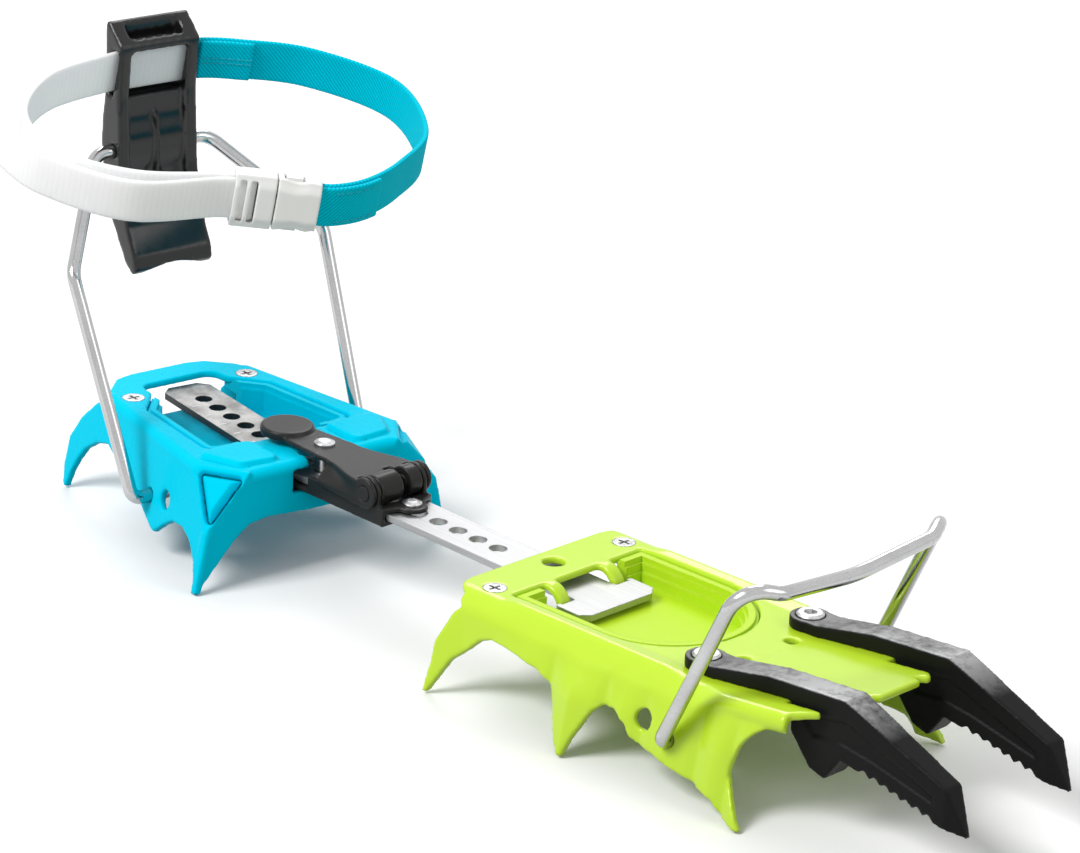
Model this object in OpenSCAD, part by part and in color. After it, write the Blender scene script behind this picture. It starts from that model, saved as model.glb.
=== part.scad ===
// Automatic crampon for a right boot, with an offset linking bar.
// X runs from heel to toe, Y to the wearer's left, Z up. Millimetres.
// The crampon stands on the tips of its teeth at Z = 0.

/* [Front frame] */
// Height of the front plate above the tips of its teeth
front_h = 30; // [27:0.5:34]
// Sheet thickness of the front frame
front_t = 2.2; // [1.8:0.1:2.6]
// Width of the front plate across its two folds
front_w = 69.2; // [66:0.4:76]
// Lean of the front side walls from upright, degrees
front_flare = 12; // [8:1:16]
// Outer radius of the folds between plate and walls
fold_r = 3; // [2.6:0.1:4]
// Rear edge of the rear band
band_rear_x = -4; // [-8:0.5:-2]
// Front edge of the rear band
band_front_x = 12; // [10:0.5:14]
// Corner radius of the rear band
band_corner_r = 6; // [3:0.5:9]
// Hole in the middle of the rear band, radius
band_hole_r = 3.2; // [2:0.1:4]
// Half width of the tray opening
opening_r = 26; // [24:0.5:27]
// Centre of the round end of the tray opening
opening_x = 45; // [42:0.5:48]
// Line where the deck begins to rise
deck_bend_x = 85; // [82:0.5:88]
// Rise of the deck, degrees
deck_rise = 6; // [4:0.5:8]
// Length of the middle tongue from the bend
deck_len = 43; // [40:0.5:47]
// Half width of the middle tongue
deck_tongue_y = 14.4; // [12:0.2:15]
// Length of the outer wings from the bend, beside the front points
wing_len = 39.6; // [37:0.2:41]
// Tip of the rear tooth
front_tooth1_x = -5; // [-8:0.5:-2]
// Tip of the middle tooth
front_tooth2_x = 49; // [45:0.5:53]
// Tip of the front tooth
front_tooth3_x = 112; // [108:0.5:116]
// Width of a tooth tip
tip_w = 1.6; // [1:0.1:2.4]
// Height of the arch behind the middle tooth
front_arch1_z = 20; // [16:0.5:22]
// Height of the arch in front of the middle tooth
front_arch2_z = 17; // [15:0.5:20]
// Pivot hole of the toe bail, along the frame
toe_hole_x = 83; // [80:0.5:88]
// Pivot hole of the toe bail, height
toe_hole_z = 15.5; // [14:0.5:17]
// Distance from the pivot hole to the spare hole
spare_step = 10; // [8:0.5:12]
// Radius of the spare hole
spare_r = 2.9; // [2.2:0.1:3.2]
// Reach of the hook tabs in front of the band
hook_r = 7; // [6:0.5:8]
// Width of each hook tab
hook_w = 4.4; // [3.6:0.2:5]
// Tray screws, along the frame
tray_screw_x = 5.6; // [4:0.2:7]
// Tray screws, from the middle line
tray_screw_y = 25.8; // [24:0.2:27]

/* [Front points] */
// Distance between the two front points
point_gap = 41.8; // [40:0.2:44]
// Bolt of each front point
point_bolt_x = 79; // [77:0.5:80]
// Thickness of the arm over the bolt
point_arm_t = 3.4; // [3:0.2:4.4]
// Height of the shoulder over the deck
point_shoulder_t = 5; // [4:0.2:6]
// Shoulder of the point
point_shoulder_x = 130; // [128:0.5:133]
// Knee of the point
point_knee_x = 163.5; // [160:0.5:167]
// Tip of the point
point_tip_x = 169.3; // [168:0.5:174]
// Knee height
point_knee_z = 25.5; // [23:0.5:27]
// Tip height
point_tip_z = 13.4; // [11:0.2:15]
// Width of the arm round the bolt
point_end_d = 11.4; // [10.6:0.2:12]
// Width of the arm and blade
point_w = 9; // [8:0.2:10]
// Number of serrations under the blade
serrations = 7; // [5:1:8]
// Depth of a serration
serration_d = 1.5; // [1:0.1:2]

/* [Wires] */
// Diameter of both bail wires
wire_d = 4; // [3.6:0.1:4.4]
// Bend radius of the wires at their middle line
bend_r = 8; // [6.5:0.5:9]
// Clearance of a running fit on the radius
run_gap = 0.05; // [0.03:0.01:0.09]
// Clearance between pieces that move past each other
slide_gap = 0.4; // [0.35:0.05:0.5]
// Toe bail's cross wire, forward of its pivot
toe_reach = 23; // [19:0.5:26]
// Toe bail's shoulders, above its pivot
toe_rise = 51; // [47:0.5:56]
// Dip of the toe bail's middle
toe_dip = 6; // [3:0.5:8]

/* [Linking bar] */
// Width of the bar
bar_w = 16; // [14:0.2:16.4]
// Thickness of the bar
bar_t = 2; // [1.6:0.1:2.4]
// Tilt of the bar from the level, degrees
bar_pitch = 1.5; // [1:0.1:1.8]
// Free height between bar and rear band
bar_gap = 1.6; // [1.3:0.1:1.9]
// Bend of the bar in its own plane, degrees
bar_kink = 10.2; // [8:0.2:12]
// Place of that bend
bar_kink_x = -101; // [-104:0.5:-100]
// Length of the bar behind the bend
bar_rear_len = 66; // [60:0.5:68]
// Distance between the holes of the bar
hole_step = 8; // [7.5:0.1:8.4]
// Radius of the holes of the bar
hole_r = 2.6; // [2.5:0.05:2.8]
// Width of the T head
head_w = 30; // [28:0.5:32]
// Length of the T head
head_len = 10; // [8:0.5:12]

/* [Heel frame] */
// Free height between the bar's rear end and the heel plate
heel_gap = 0.8; // [0.7:0.1:2]
// Sheet thickness of the heel frame
heel_t = 2.2; // [1.8:0.1:2.3]
// Angle between heel unit and front unit, degrees
heel_yaw = 7.33; // [5:0.2:9]
// Half width of the heel plate at its rear
heel_rear_y = 26; // [25.6:0.2:28]
// Half width of the heel plate at its front
heel_front_y = 36.4; // [35:0.2:38]
// Lean of the heel's side walls, degrees
heel_flare = 12.4; // [9:0.4:15]
// Rear edge of the heel plate from the heel datum
heel_rear_x = -77; // [-80:0.5:-75]
// Front skirt from the heel datum
heel_front_x = 10.5; // [9.5:0.5:12]
// Tip of the rear tooth along the wall
heel_tooth1_s = -81; // [-84:0.5:-78]
// Tip of the small tooth along the wall
heel_tooth2_s = -20; // [-22:0.5:-18]
// Height of the small tooth's tip
heel_tooth2_z = 7.7; // [6:0.2:9]
// Height of the long arch behind the small tooth
heel_arch1_z = 21; // [18:0.5:23]
// Height of the arch in front of the small tooth
heel_arch2_z = 15; // [13:0.5:17]
// Height of the arch of the front skirt
skirt_arch_z = 18; // [15:0.5:20]
// Pivot hole of the heel bail along the heel
heel_hole_x = -27; // [-29:0.5:-25]
// Pivot hole of the heel bail, height
heel_hole_z = 16.5; // [15.5:0.5:18]
// Height of the raised pads
pad_h = 1.6; // [1:0.1:2.4]
// Tray screws of the heel, along the heel
heel_screw_x = -59; // [-61:0.5:-57]
// Tray screws of the heel, from the middle line
heel_screw_y = 20.6; // [19.6:0.2:20.8]

/* [Adjuster] */
// Locking stud from the front datum
stud_x = -90.6; // [-92:0.2:-88]
// Radius of the locking stud
stud_r = 2; // [1.8:0.05:2.1]
// Barrel axis from the front datum
barrel_x = -62; // [-64:0.5:-60]
// Outer radius of the barrels
barrel_r = 4.6; // [4.4:0.1:5]
// Radius of the hinge pins
hinge_r = 2.2; // [1.8:0.1:2.4]
// Sheet thickness of base and lever
adjust_t = 1.4; // [1.2:0.1:1.6]
// Width of the lever's arm
arm_w = 14; // [12:0.5:16]
// Radius of the finger tongue
tongue_r = 8; // [7:0.2:9]
// Middle of the finger tongue from the front datum
tongue_x = -106.6; // [-108:0.2:-105]

/* [Heel bail and lever] */
// Bail's knees, behind the pivot
knee_back = 28; // [25:0.5:31]
// Bail's knees, above the pivot
knee_up = 62; // [58:0.5:66]
// Half width of the bail at its knees
knee_y = 45; // [43:0.5:48]
// Top wire behind the pivot
top_back = 55; // [52:0.5:57]
// Top wire above the pivot
top_up = 87.5; // [86:0.5:92]
// Width of the heel lever
lever_w = 28; // [26:0.5:30]
// Depth of the heel lever's body
lever_d = 9.2; // [9:0.2:11]
// Length of the lever above the top wire
lever_up = 41; // [39:0.5:44]
// Length of the lever below the top wire
lever_down = 36; // [33:0.5:39]
// Forward flare of the lever's tail
tail_flare = 8; // [6:0.5:10]

/* [Straps and buckle] */
// Width of the webbing
strap_w = 13; // [12:0.2:13.4]
// Thickness of the webbing
strap_t = 1.6; // [1.2:0.1:1.8]
// Middle of the webbing above the top wire
strap_up = 24; // [22:0.5:25]
// Forward fall of the strap's plane, degrees
strap_tilt = 13.7; // [12:0.5:15]
// Width of the strap loop
loop_w = 124; // [120:1:132]
// Depth of the strap loop
loop_d = 84; // [82:0.5:88]
// Length of the buckle
buckle_len = 25; // [23:0.5:27]
// Height of the buckle
buckle_h = 17; // [16.4:0.2:18]
// Thickness of the buckle
buckle_t = 7; // [6.4:0.2:8]

/* [Hidden] */
$fn = 36;
// Overlap that joins the bodies of one piece
eps = 0.05;
// Length used for cuts that go right through
through = 60;
// Steps of a smooth curve between two points
curve_steps = 6;
// Bends are a hair thicker than the straight runs that end inside them
elbow_skin = 0.03;
elbow_lap = 0.2;

function unit(v) = v / norm(v);
function mirrored(p) = concat(p, [for (i = [len(p) - 1:-1:0]) [p[i][0], -p[i][1]]]);
// Point of a smooth curve through p at span i, part t
function spline(p, i, t) =
    let (a = p[max(i - 1, 0)])
    let (b = p[i])
    let (c = p[i + 1])
    let (d = p[min(i + 2, len(p) - 1)])
    0.5 * (2 * b + (c - a) * t + (2 * a - 5 * b + 4 * c - d) * t * t + (3 * b - a - 3 * c + d) * t * t * t);
function smooth(p) = concat(
    [for (i = [0:len(p) - 2], j = [0:curve_steps - 1]) spline(p, i, j / curve_steps)],
    [p[len(p) - 1]]);
function side(p, i) =
    let (d = unit(p[min(i + 1, len(p) - 1)] - p[max(i - 1, 0)]))
    [-d[1], d[0]];
// Band of thickness t along a path
module strip(p, t) {
    polygon(concat(
        [for (i = [0:len(p) - 1]) p[i] + side(p, i) * t / 2],
        [for (i = [len(p) - 1:-1:0]) p[i] - side(p, i) * t / 2]));
}

// Frame at point a, first axis towards b, second towards c
module on_plane(a, b, c) {
    u = unit(b - a);
    n = unit(cross(u, c - a));
    v = cross(n, u);
    multmatrix([
        [u[0], v[0], n[0], a[0]],
        [u[1], v[1], n[1], a[1]],
        [u[2], v[2], n[2], a[2]],
        [0, 0, 0, 1]]) children();
}

// Round rod from a to b
module rod(a, b, r) {
    d = b - a;
    n = norm(d);
    turn = atan2(d[1], d[0]);
    fall = acos(d[2] / n);
    translate(a) rotate([0, fall, turn]) cylinder(r = r, h = n);
}

// Round arc at corner p between directions a and b
module elbow(p, a, b, bend, r) {
    angle = acos(a * b);
    centre = p + unit(b - a) * bend / cos(angle / 2);
    start = p - a * bend * tan(angle / 2);
    n = unit(cross(a, b));
    e1 = unit(start - centre);
    e2 = cross(n, e1);
    multmatrix([
        [e1[0], e2[0], n[0], centre[0]],
        [e1[1], e2[1], n[1], centre[1]],
        [e1[2], e2[2], n[2], centre[2]],
        [0, 0, 0, 1]])
        rotate_extrude(angle = angle) translate([bend, 0]) circle(r = r + elbow_skin, $fn = 24);
}

// Bent wire through points p with a bend radius for each inner corner
module wire(p, bends, r) {
    last = len(p) - 1;
    dirs = [for (i = [0:last - 1]) unit(p[i + 1] - p[i])];
    trims = [for (i = [0:last])
        (i == 0 || i == last) ? 0 : bends[i - 1] * tan(acos(dirs[i - 1] * dirs[i]) / 2)];
    for (i = [0:last - 1])
        rod(p[i] + dirs[i] * (trims[i] - (i == 0 ? 0 : elbow_lap)),
            p[i + 1] - dirs[i] * (trims[i + 1] - (i == last - 1 ? 0 : elbow_lap)), r, $fn = 24);
    for (i = [1:last - 1])
        elbow(p[i], dirs[i - 1], dirs[i], bends[i - 1], r);
}

// Cylinder along Y from y0 to y1
module across(x, z, r, y0, y1) {
    translate([x, y1, z]) rotate([90, 0, 0]) cylinder(r = r, h = y1 - y0);
}

// Box from corner a to corner b
module block(a, b) {
    translate(a) cube(b - a);
}

module both_sides() {
    children();
    mirror([0, 1, 0]) children();
}

front_half = front_w / 2;
front_e = fold_r * (1 - sin(front_flare)) / cos(front_flare);
plate_y = front_half - front_e;
front_tip_z = front_t * sin(front_flare);
function front_d(z) = (front_h - z) / cos(front_flare);
function front_wall_y(z) = front_half + (front_h - z) * tan(front_flare);
fold_x = band_rear_x + band_corner_r + 1;
fold_z = front_h - fold_r;
// Length of the wings at the fold
wing_side = wing_len - 6;
// Later runs of a fold start inside the first one, a hair thinner
fold_lap = 0.3;
fold_skin = 0.06;
// Folds stand a hair proud of the sheets that run into them
fold_proud = 0.12;
// Inner radius of a fold, a hair more than the sheets leave
fold_room = fold_r - min(front_t, heel_t) + 0.1;
point_y = point_gap / 2;
slot_x = 27;
slot_in = point_y - point_w / 2 - 0.6;
slot_out = point_y + point_w / 2 + 0.8;
spare_x = toe_hole_x - spare_step;
spare_z = toe_hole_z + 2;
wire_r = wire_d / 2;
pivot_r = wire_r + run_gap;
hook_y = bar_w / 2 + slide_gap + 0.2;
hook_x = band_front_x + hook_r - 3;
bar_top = front_h - front_t - bar_gap;
head_x = band_front_x + hook_r + 0.5;
screw_r = 1.7;
screw_head_r = 3.4;
screw_cone = 1.4;
screw_len = 7;
tray_gap = 0.3;
tray_ear_t = 2.4;
tray_lip = 0.4;
tray_floor = bar_top - bar_t - 1.6;
tray_floor_t = 1.8;

// The part's origin lies under the middle of its box
origin_x = -9.98;
origin_y = 2.44;
module placed() {
    translate([-origin_x, -origin_y, 0]) children();
}

// Bar frame: tilted about the hooks
module in_bar() {
    translate([hook_x, 0, bar_top]) rotate([0, bar_pitch, 0]) translate([-hook_x, 0, 0]) children();
}
heel_x = -100;
heel_y = 0.86;
// Heel frame: turned about the heel datum
module in_heel() {
    translate([heel_x, heel_y, 0]) rotate([0, 0, -heel_yaw]) children();
}
bar_end_rise = (hook_x - bar_kink_x + bar_rear_len) * sin(bar_pitch);
heel_h = bar_top + bar_end_rise + heel_gap + heel_t;

heel_slope = (heel_front_y - heel_rear_y) / 66;
heel_taper = atan(heel_slope);
heel_e = fold_r * (1 - sin(heel_flare)) / cos(heel_flare);
heel_tip_z = heel_t * sin(heel_flare);
function heel_d(z) = (heel_h - z) / cos(heel_flare);
function heel_w(x) = heel_front_y + heel_slope * x;
function heel_wall_y(x, z) = heel_w(x) + (heel_h - z) * tan(heel_flare) / cos(heel_taper);
heel_spare_s = heel_hole_x + 10;
heel_spare_z = heel_hole_z + 2;
bail_x = heel_hole_x;
bail_z = heel_hole_z;
pivot_x = bail_x - top_back;
pivot_z = bail_z + top_up;
leg_room = 2.4;
hole_bend = 3;
lever_y = lever_w / 2;
strap_dx = 2.2;
// Inside the lever the webbing lies this much further back
strap_dip = 2.4;
flute_y = 5.4;
strap_room = 0.8;
strap_edge_room = 0.7;
kx = loop_d / 84;
ky = loop_w / 124;
barrel_z = barrel_r + slide_gap;
base_in = bar_w / 2 + slide_gap;
base_out = base_in + adjust_t;
flange_in = base_out + slide_gap;
flange_out = flange_in + adjust_t;
knuckle_y = base_in - slide_gap;
knuckle_gap0 = 0.5;
knuckle_gap1 = 3.5;
arm_z = 6.8;
tail_x = barrel_x + 8.5;
tail_r = 4.6;
// The lever's side flanges start here and are deepest from here on, and its tongue is thicker
flange_x = barrel_x - 20;
flare_x = barrel_x - 9;
tongue_h = 1.2;

// Front point bolts and nuts
bolt_r = 2.4;
bolt_head_r = 3.9;
bolt_head_h = 2;
bolt_sink = 1.2;
nut_r = 4.6;
nut_h = 4;
small_hole_r = 2;
small_hole_y = 9.5;
band_hole_x = band_rear_x + 7;
bolt_top = front_h + point_arm_t;
function deck_z(x) = front_h + (x - deck_bend_x) * tan(deck_rise);
// Heel frame
skirt_in = heel_front_x - heel_t;
corner_x = -3;
corner_y = 27;
corner_z = heel_h - 0.8;
ridge_z = 18;
bar_front_z = bar_top + (hook_x - heel_x - heel_front_x) * tan(bar_pitch);
slot_floor = bar_front_z - bar_t - slide_gap - adjust_t - 0.8;
// Slot of the skirt that the bar and its base pass through, under the deck
slot_top = heel_h - heel_t - 0.4;
slot_y = base_out + 1.2;
// Opening of the deck for the locking stud, under the lever's arm
stud_slot_rear = heel_front_x - 6.5;
stud_slot_y = arm_w / 2 - 1.8;
// The base's bracket behind the skirt is open above this width
bracket_y = 14;
rim_h = 1;
// The slanted corner laps over the edges that it joins
facet_lap = 1.015;
tray_slot_y = bar_w / 2 + 6.5;
// Adjuster, lever and strap
base_rear = stud_x + 3.6;
floor_top = -bar_t - slide_gap;
window_w = 20;
flute_top = 16;
flute_r = 4.6;
// End gap between the two webbings inside the lever
strap_join = 0.3;
buckle_turn = 60.3;
buckle_dir = [cos(buckle_turn), sin(buckle_turn)];
buckle_out = [sin(buckle_turn), -cos(buckle_turn)];
buckle_at = [71 * kx, -20 * ky];
buckle_end = buckle_at + buckle_dir * buckle_len;
fold_back = 2.4;
split_x = 12;
latch_z = 3.2;
latch_t = 3;
guide_z = 1.2;

lime = [0.72, 0.88, 0.18];
teal = [0.0, 0.78, 0.9];
black = [0.12, 0.12, 0.12];
steel = [0.7, 0.7, 0.72];
white = [0.95, 0.95, 0.95];
blue = [0.0, 0.72, 0.82];

// Room inside a fold, in its wall's own frame: along the fold, down the wall, inwards
module fold_inside(x0, x1, e, flare) {
    a = [e - fold_room * (1 - sin(flare)) / cos(flare), fold_r - fold_room];
    reach = 3 * fold_r;
    inwards = [-sin(flare), cos(flare)] * reach;
    down = [reach, 0];
    translate([x0, 0, 0]) rotate([90, 0, 90]) linear_extrude(height = x1 - x0)
        polygon([a, a + inwards, a + inwards + down, a + down]);
}

// Tray opening of the front frame, shrunk by a gap
module front_opening(gap) {
    r = opening_r - gap;
    translate([opening_x, 0]) circle(r = r, $fn = 72);
    translate([band_front_x + gap, -r]) square([opening_x - band_front_x - gap, 2 * r]);
}

// Outer face of the right front wall: along X, then down
module front_wall_plane() {
    multmatrix([
        [1, 0, 0, 0],
        [0, -sin(front_flare), cos(front_flare), -front_half],
        [0, -cos(front_flare), -sin(front_flare), front_h],
        [0, 0, 0, 1]]) children();
}

module front_wall() {
    t1 = front_tooth1_x;
    t2 = front_tooth2_x;
    t3 = front_tooth3_x;
    a1 = front_arch1_z;
    a2 = front_arch2_z;
    tip = front_tip_z;
    h = toe_hole_x;
    low = toe_hole_z - 5.4;
    lift = wing_side * tan(deck_rise) / cos(front_flare);
    below = [
        [t1 + 5, 24], [t1 + 1.2, 14.6], [t1 + 1.1, 8.2], [t1, tip], [t1 + tip_w, tip],
        [t1 + 7.4, 11], [t1 + 11.9, 14.8], [t1 + 16.2, a1 - 1.1], [t1 + 20.1, a1 + 0.5], [t2 - 25, a1],
        [t2 - 15.4, a1 - 1.4], [t2 - 10.6, a1 - 3.7], [t2 - 7.1, 11.2], [t2 - 3.4, 3.2],
        [t2 - tip_w / 2, tip], [t2 + tip_w / 2, tip],
        [t2 + 2.6, 5.9], [t2 + 6.6, 14.2], [t2 + 9.1, a2 - 0.5], [t2 + 14, a2 + 0.4],
        [h - 15.5, low + 4.9], [h - 13.5, low + 1.6], [h - 10, low + 0.4], [h - 4, low],
        [t3 - 22.3, 7.6], [t3 - 11.8, 5.2], [t3 - 7.9, 1.6], [t3 - tip_w, tip], [t3, tip],
        [t3 - 3.5, 5.4], [t3 - 6.6, 9.6], [t3 - 8.4, 12.7], [t3 - 7.9, 16.9], [t3 - 6.8, 20.2],
        [t3 - 5, 23.1], [t3 - 2.4, 25.8], [t3 + 1.2, 28.3]];
    difference() {
        front_wall_plane()
            difference() {
                linear_extrude(height = front_t)
                    polygon(concat(
                        [[deck_bend_x + wing_side, front_e - lift], [deck_bend_x, front_e]],
                        [[band_rear_x + band_corner_r + 3, front_e]],
                        [for (p = below) [p[0], front_d(p[1])]]));
                translate([spare_x, front_d(spare_z), -eps])
                    cylinder(r = spare_r, h = front_t + 2 * eps, $fn = 48);
            }
        across(toe_hole_x, toe_hole_z, pivot_r, -through, 0, $fn = 48);
    }
    difference() {
        union() {
            rod([fold_x, -plate_y, fold_z], [deck_bend_x, -plate_y, fold_z], fold_r + fold_proud);
            translate([fold_x + fold_lap, -plate_y, fold_z]) sphere(r = fold_r + fold_proud - fold_skin);
        }
        front_wall_plane() fold_inside(fold_x - 2 * fold_r, deck_bend_x + 1, front_e, front_flare);
    }
    difference() {
        rod([deck_bend_x - fold_lap, -plate_y, fold_z - fold_lap * tan(deck_rise)],
            [deck_bend_x + wing_side, -plate_y, fold_z + wing_side * tan(deck_rise)],
            fold_r + fold_proud - fold_skin);
        translate([deck_bend_x, fold_skin, fold_z - fold_skin]) rotate([0, -deck_rise, 0])
            translate([-deck_bend_x, 0, -fold_z]) front_wall_plane()
            fold_inside(deck_bend_x - 1, deck_bend_x + wing_len, front_e, front_flare);
    }
}

module hook_tab() {
    translate([band_front_x, hook_y + hook_w, front_h - hook_r]) rotate([90, 0, 0])
        linear_extrude(height = hook_w) {
            intersection() {
                difference() {
                    circle(r = hook_r);
                    circle(r = hook_r - front_t);
                }
                square(hook_r);
            }
            translate([-1, hook_r - front_t]) square([1, front_t]);
        }
}

module front_frame() {
    notch_x = deck_len - 1.8;
    wing_y = plate_y - 2 * fold_skin;
    difference() {
        union() {
            translate([0, 0, front_h - front_t]) linear_extrude(height = front_t)
                difference() {
                    union() {
                        translate([band_rear_x, -plate_y])
                            translate([band_corner_r, band_corner_r])
                            offset(r = band_corner_r)
                            square([opening_x, 2 * plate_y - 2 * band_corner_r]);
                        translate([opening_x, -plate_y]) square([deck_bend_x - opening_x + 1, 2 * plate_y]);
                    }
                    front_opening(0);
                    translate([band_hole_x, 0]) circle(r = band_hole_r);
                }
            translate([deck_bend_x, 0, front_h]) rotate([0, -deck_rise, 0]) translate([0, 0, -front_t])
                linear_extrude(height = front_t)
                polygon(mirrored([
                    [0, wing_y], [wing_side, wing_y], [wing_len - 0.6, slot_out + 0.8],
                    [wing_len - 1.2, slot_out], [slot_x, slot_out],
                    [slot_x, deck_tongue_y], [deck_len - 2, deck_tongue_y], [deck_len, deck_tongue_y - 2],
                    [deck_len, 11], [notch_x, 10.4], [notch_x, 8.8], [deck_len, 8.2]]));
            both_sides() front_wall();
            both_sides() hook_tab();
        }
        both_sides() translate([tray_screw_x, tray_screw_y, front_h - front_t - eps]) {
            cylinder(r = screw_r + run_gap, h = front_t + 2 * eps);
            translate([0, 0, front_t - screw_cone])
                cylinder(r1 = screw_r + run_gap, r2 = screw_head_r + run_gap, h = screw_cone + 2 * eps);
        }
        for (y = [-point_y, point_y])
            translate([point_bolt_x, y, front_h - front_t - eps])
                cylinder(r = bolt_r + run_gap, h = front_t + 2 * eps);
        both_sides() translate([deck_bend_x - 2.5, small_hole_y, front_h - front_t - 1])
            cylinder(r = small_hole_r, h = front_t + 3);
    }
}

module front_tray() {
    ear_z = front_h - front_t;
    difference() {
        union() {
            translate([0, 0, tray_floor - tray_floor_t])
                linear_extrude(height = ear_z - tray_floor + tray_floor_t) front_opening(tray_gap + 2.2);
            translate([0, 0, ear_z - 3]) linear_extrude(height = front_t - tray_lip + 3 - 0.8)
                front_opening(tray_gap);
            translate([0, 0, ear_z + front_t - tray_lip - 1]) linear_extrude(height = 1)
                front_opening(tray_gap + 0.8);
            both_sides() block([tray_screw_x - 4.5, tray_screw_y - 5, ear_z - tray_ear_t],
                [band_front_x + 6, opening_r - tray_gap, ear_z]);
            both_sides() translate([tray_screw_x, tray_screw_y, ear_z - tray_ear_t])
                cylinder(r = 4.6, h = tray_ear_t);
        }
        translate([0, 0, tray_floor]) linear_extrude(height = through) front_opening(tray_gap + 4.6);
        translate([0, 0, tray_floor + 3]) linear_extrude(height = through) front_opening(tray_gap + 3.8);
        translate([0, 0, ear_z + front_t - tray_lip - 1.6]) linear_extrude(height = through)
            front_opening(tray_gap + 3);
        block([band_rear_x, -head_w / 2 - 1, tray_floor], [head_x + 4, head_w / 2 + 1, through]);
        both_sides() translate([tray_screw_x, tray_screw_y, 0]) cylinder(r = screw_r + run_gap, h = through);
    }
}

module tray_screw() {
    difference() {
        union() {
            translate([0, 0, -screw_cone]) cylinder(r1 = screw_r, r2 = screw_head_r, h = screw_cone);
            translate([0, 0, -screw_len]) cylinder(r = screw_r, h = screw_len - screw_cone + eps);
        }
        for (a = [0, 90])
            rotate(a) block([-2, -0.45, -1], [2, 0.45, 1]);
    }
}

module front_tray_screws() {
    both_sides() translate([tray_screw_x, tray_screw_y, front_h]) tray_screw();
}

module front_point() {
    sx = point_shoulder_x;
    x0 = deck_bend_x + slot_x * cos(deck_rise);
    first = [sx + 5.7, 20.9];
    last = [point_tip_x - 9.3, point_tip_z + 1.8];
    step = (first - last) / serrations;
    saw = [for (i = [0:serrations - 1], j = [0:1])
        last + step * (i + j * 0.5) + [0, j * serration_d]];
    difference() {
        intersection() {
            translate([0, point_w, 0]) rotate([90, 0, 0]) linear_extrude(height = 2 * point_w)
                polygon(concat(
                    [[x0, deck_z(x0)], [deck_bend_x, front_h], [point_bolt_x - point_end_d, front_h]],
                    [[point_bolt_x - point_end_d, bolt_top], [point_bolt_x + point_end_d / 2, bolt_top]],
                    [[sx - 25.5, deck_z(sx - 25.5) + point_shoulder_t]],
                    [[sx, deck_z(sx) + point_shoulder_t - 0.9]],
                    [[sx + 4, deck_z(sx) + point_shoulder_t - 2.4]],
                    [[point_knee_x, point_knee_z], [point_tip_x, point_tip_z]],
                    saw,
                    [first, [sx - 0.4, 21.8], [sx - 5.2, 15], [sx - 10.4, 16.5]],
                    [[x0 + 0.6, 24.8], [x0 + 0.6, deck_z(x0 + 0.6) - 1]]));
            union() {
                translate([point_bolt_x, 0, 0]) cylinder(r = point_end_d / 2, h = through);
                linear_extrude(height = through) polygon(mirrored([
                    [point_bolt_x, point_end_d / 2 - 0.4], [sx - 30, point_w / 2], [sx, point_w / 2],
                    [point_knee_x, point_w * 0.36], [point_tip_x, 0.9]]));
            }
        }
        translate([point_bolt_x, 0, 0]) cylinder(r = bolt_r + run_gap, h = through);
        translate([point_bolt_x, 0, bolt_top - bolt_sink])
            cylinder(r = bolt_head_r + 0.2, h = through);
    }
}

module front_point_right() {
    translate([0, -point_y, 0]) front_point();
}

module front_point_left() {
    translate([0, point_y, 0]) front_point();
}

module front_point_bolts() {
    both_sides() translate([point_bolt_x, point_y, 0])
        difference() {
            union() {
                translate([0, 0, front_h - front_t - nut_h - 1])
                    cylinder(r = bolt_r, h = point_arm_t + front_t + nut_h + 1);
                translate([0, 0, bolt_top - bolt_sink]) cylinder(r = bolt_head_r, h = bolt_head_h - 0.6);
                translate([0, 0, bolt_top - bolt_sink + bolt_head_h - 0.6])
                    cylinder(r1 = bolt_head_r, r2 = bolt_head_r - 0.6, h = 0.6);
            }
            translate([0, 0, bolt_top - bolt_sink + 0.4]) cylinder(r = 2, h = bolt_head_h, $fn = 6);
        }
}

module front_point_nuts() {
    both_sides() translate([point_bolt_x, point_y, front_h - front_t - nut_h])
        difference() {
            cylinder(r = nut_r, h = nut_h, $fn = 6);
            translate([0, 0, -eps]) cylinder(r = bolt_r + run_gap, h = nut_h + 2 * eps);
        }
}

module toe_bail() {
    x = toe_hole_x;
    z = toe_hole_z;
    y = front_wall_y(z) + wire_r + leg_room;
    inner = front_wall_y(z) - front_t - 4;
    half = [
        [x, inner, z], [x, y, z], [x + toe_reach, y - 1, z + toe_rise],
        [x + toe_reach + 5, y - 12, z + toe_rise - 3]];
    path = concat(
        [for (p = half) [p[0], -p[1], p[2]]],
        [[x + toe_reach + 4, 0, z + toe_rise - toe_dip]],
        [for (i = [3:-1:0]) half[i]]);
    wire(path, [hole_bend, bend_r, bend_r, bend_r * 6, bend_r, bend_r, hole_bend], wire_r);
}

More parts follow.
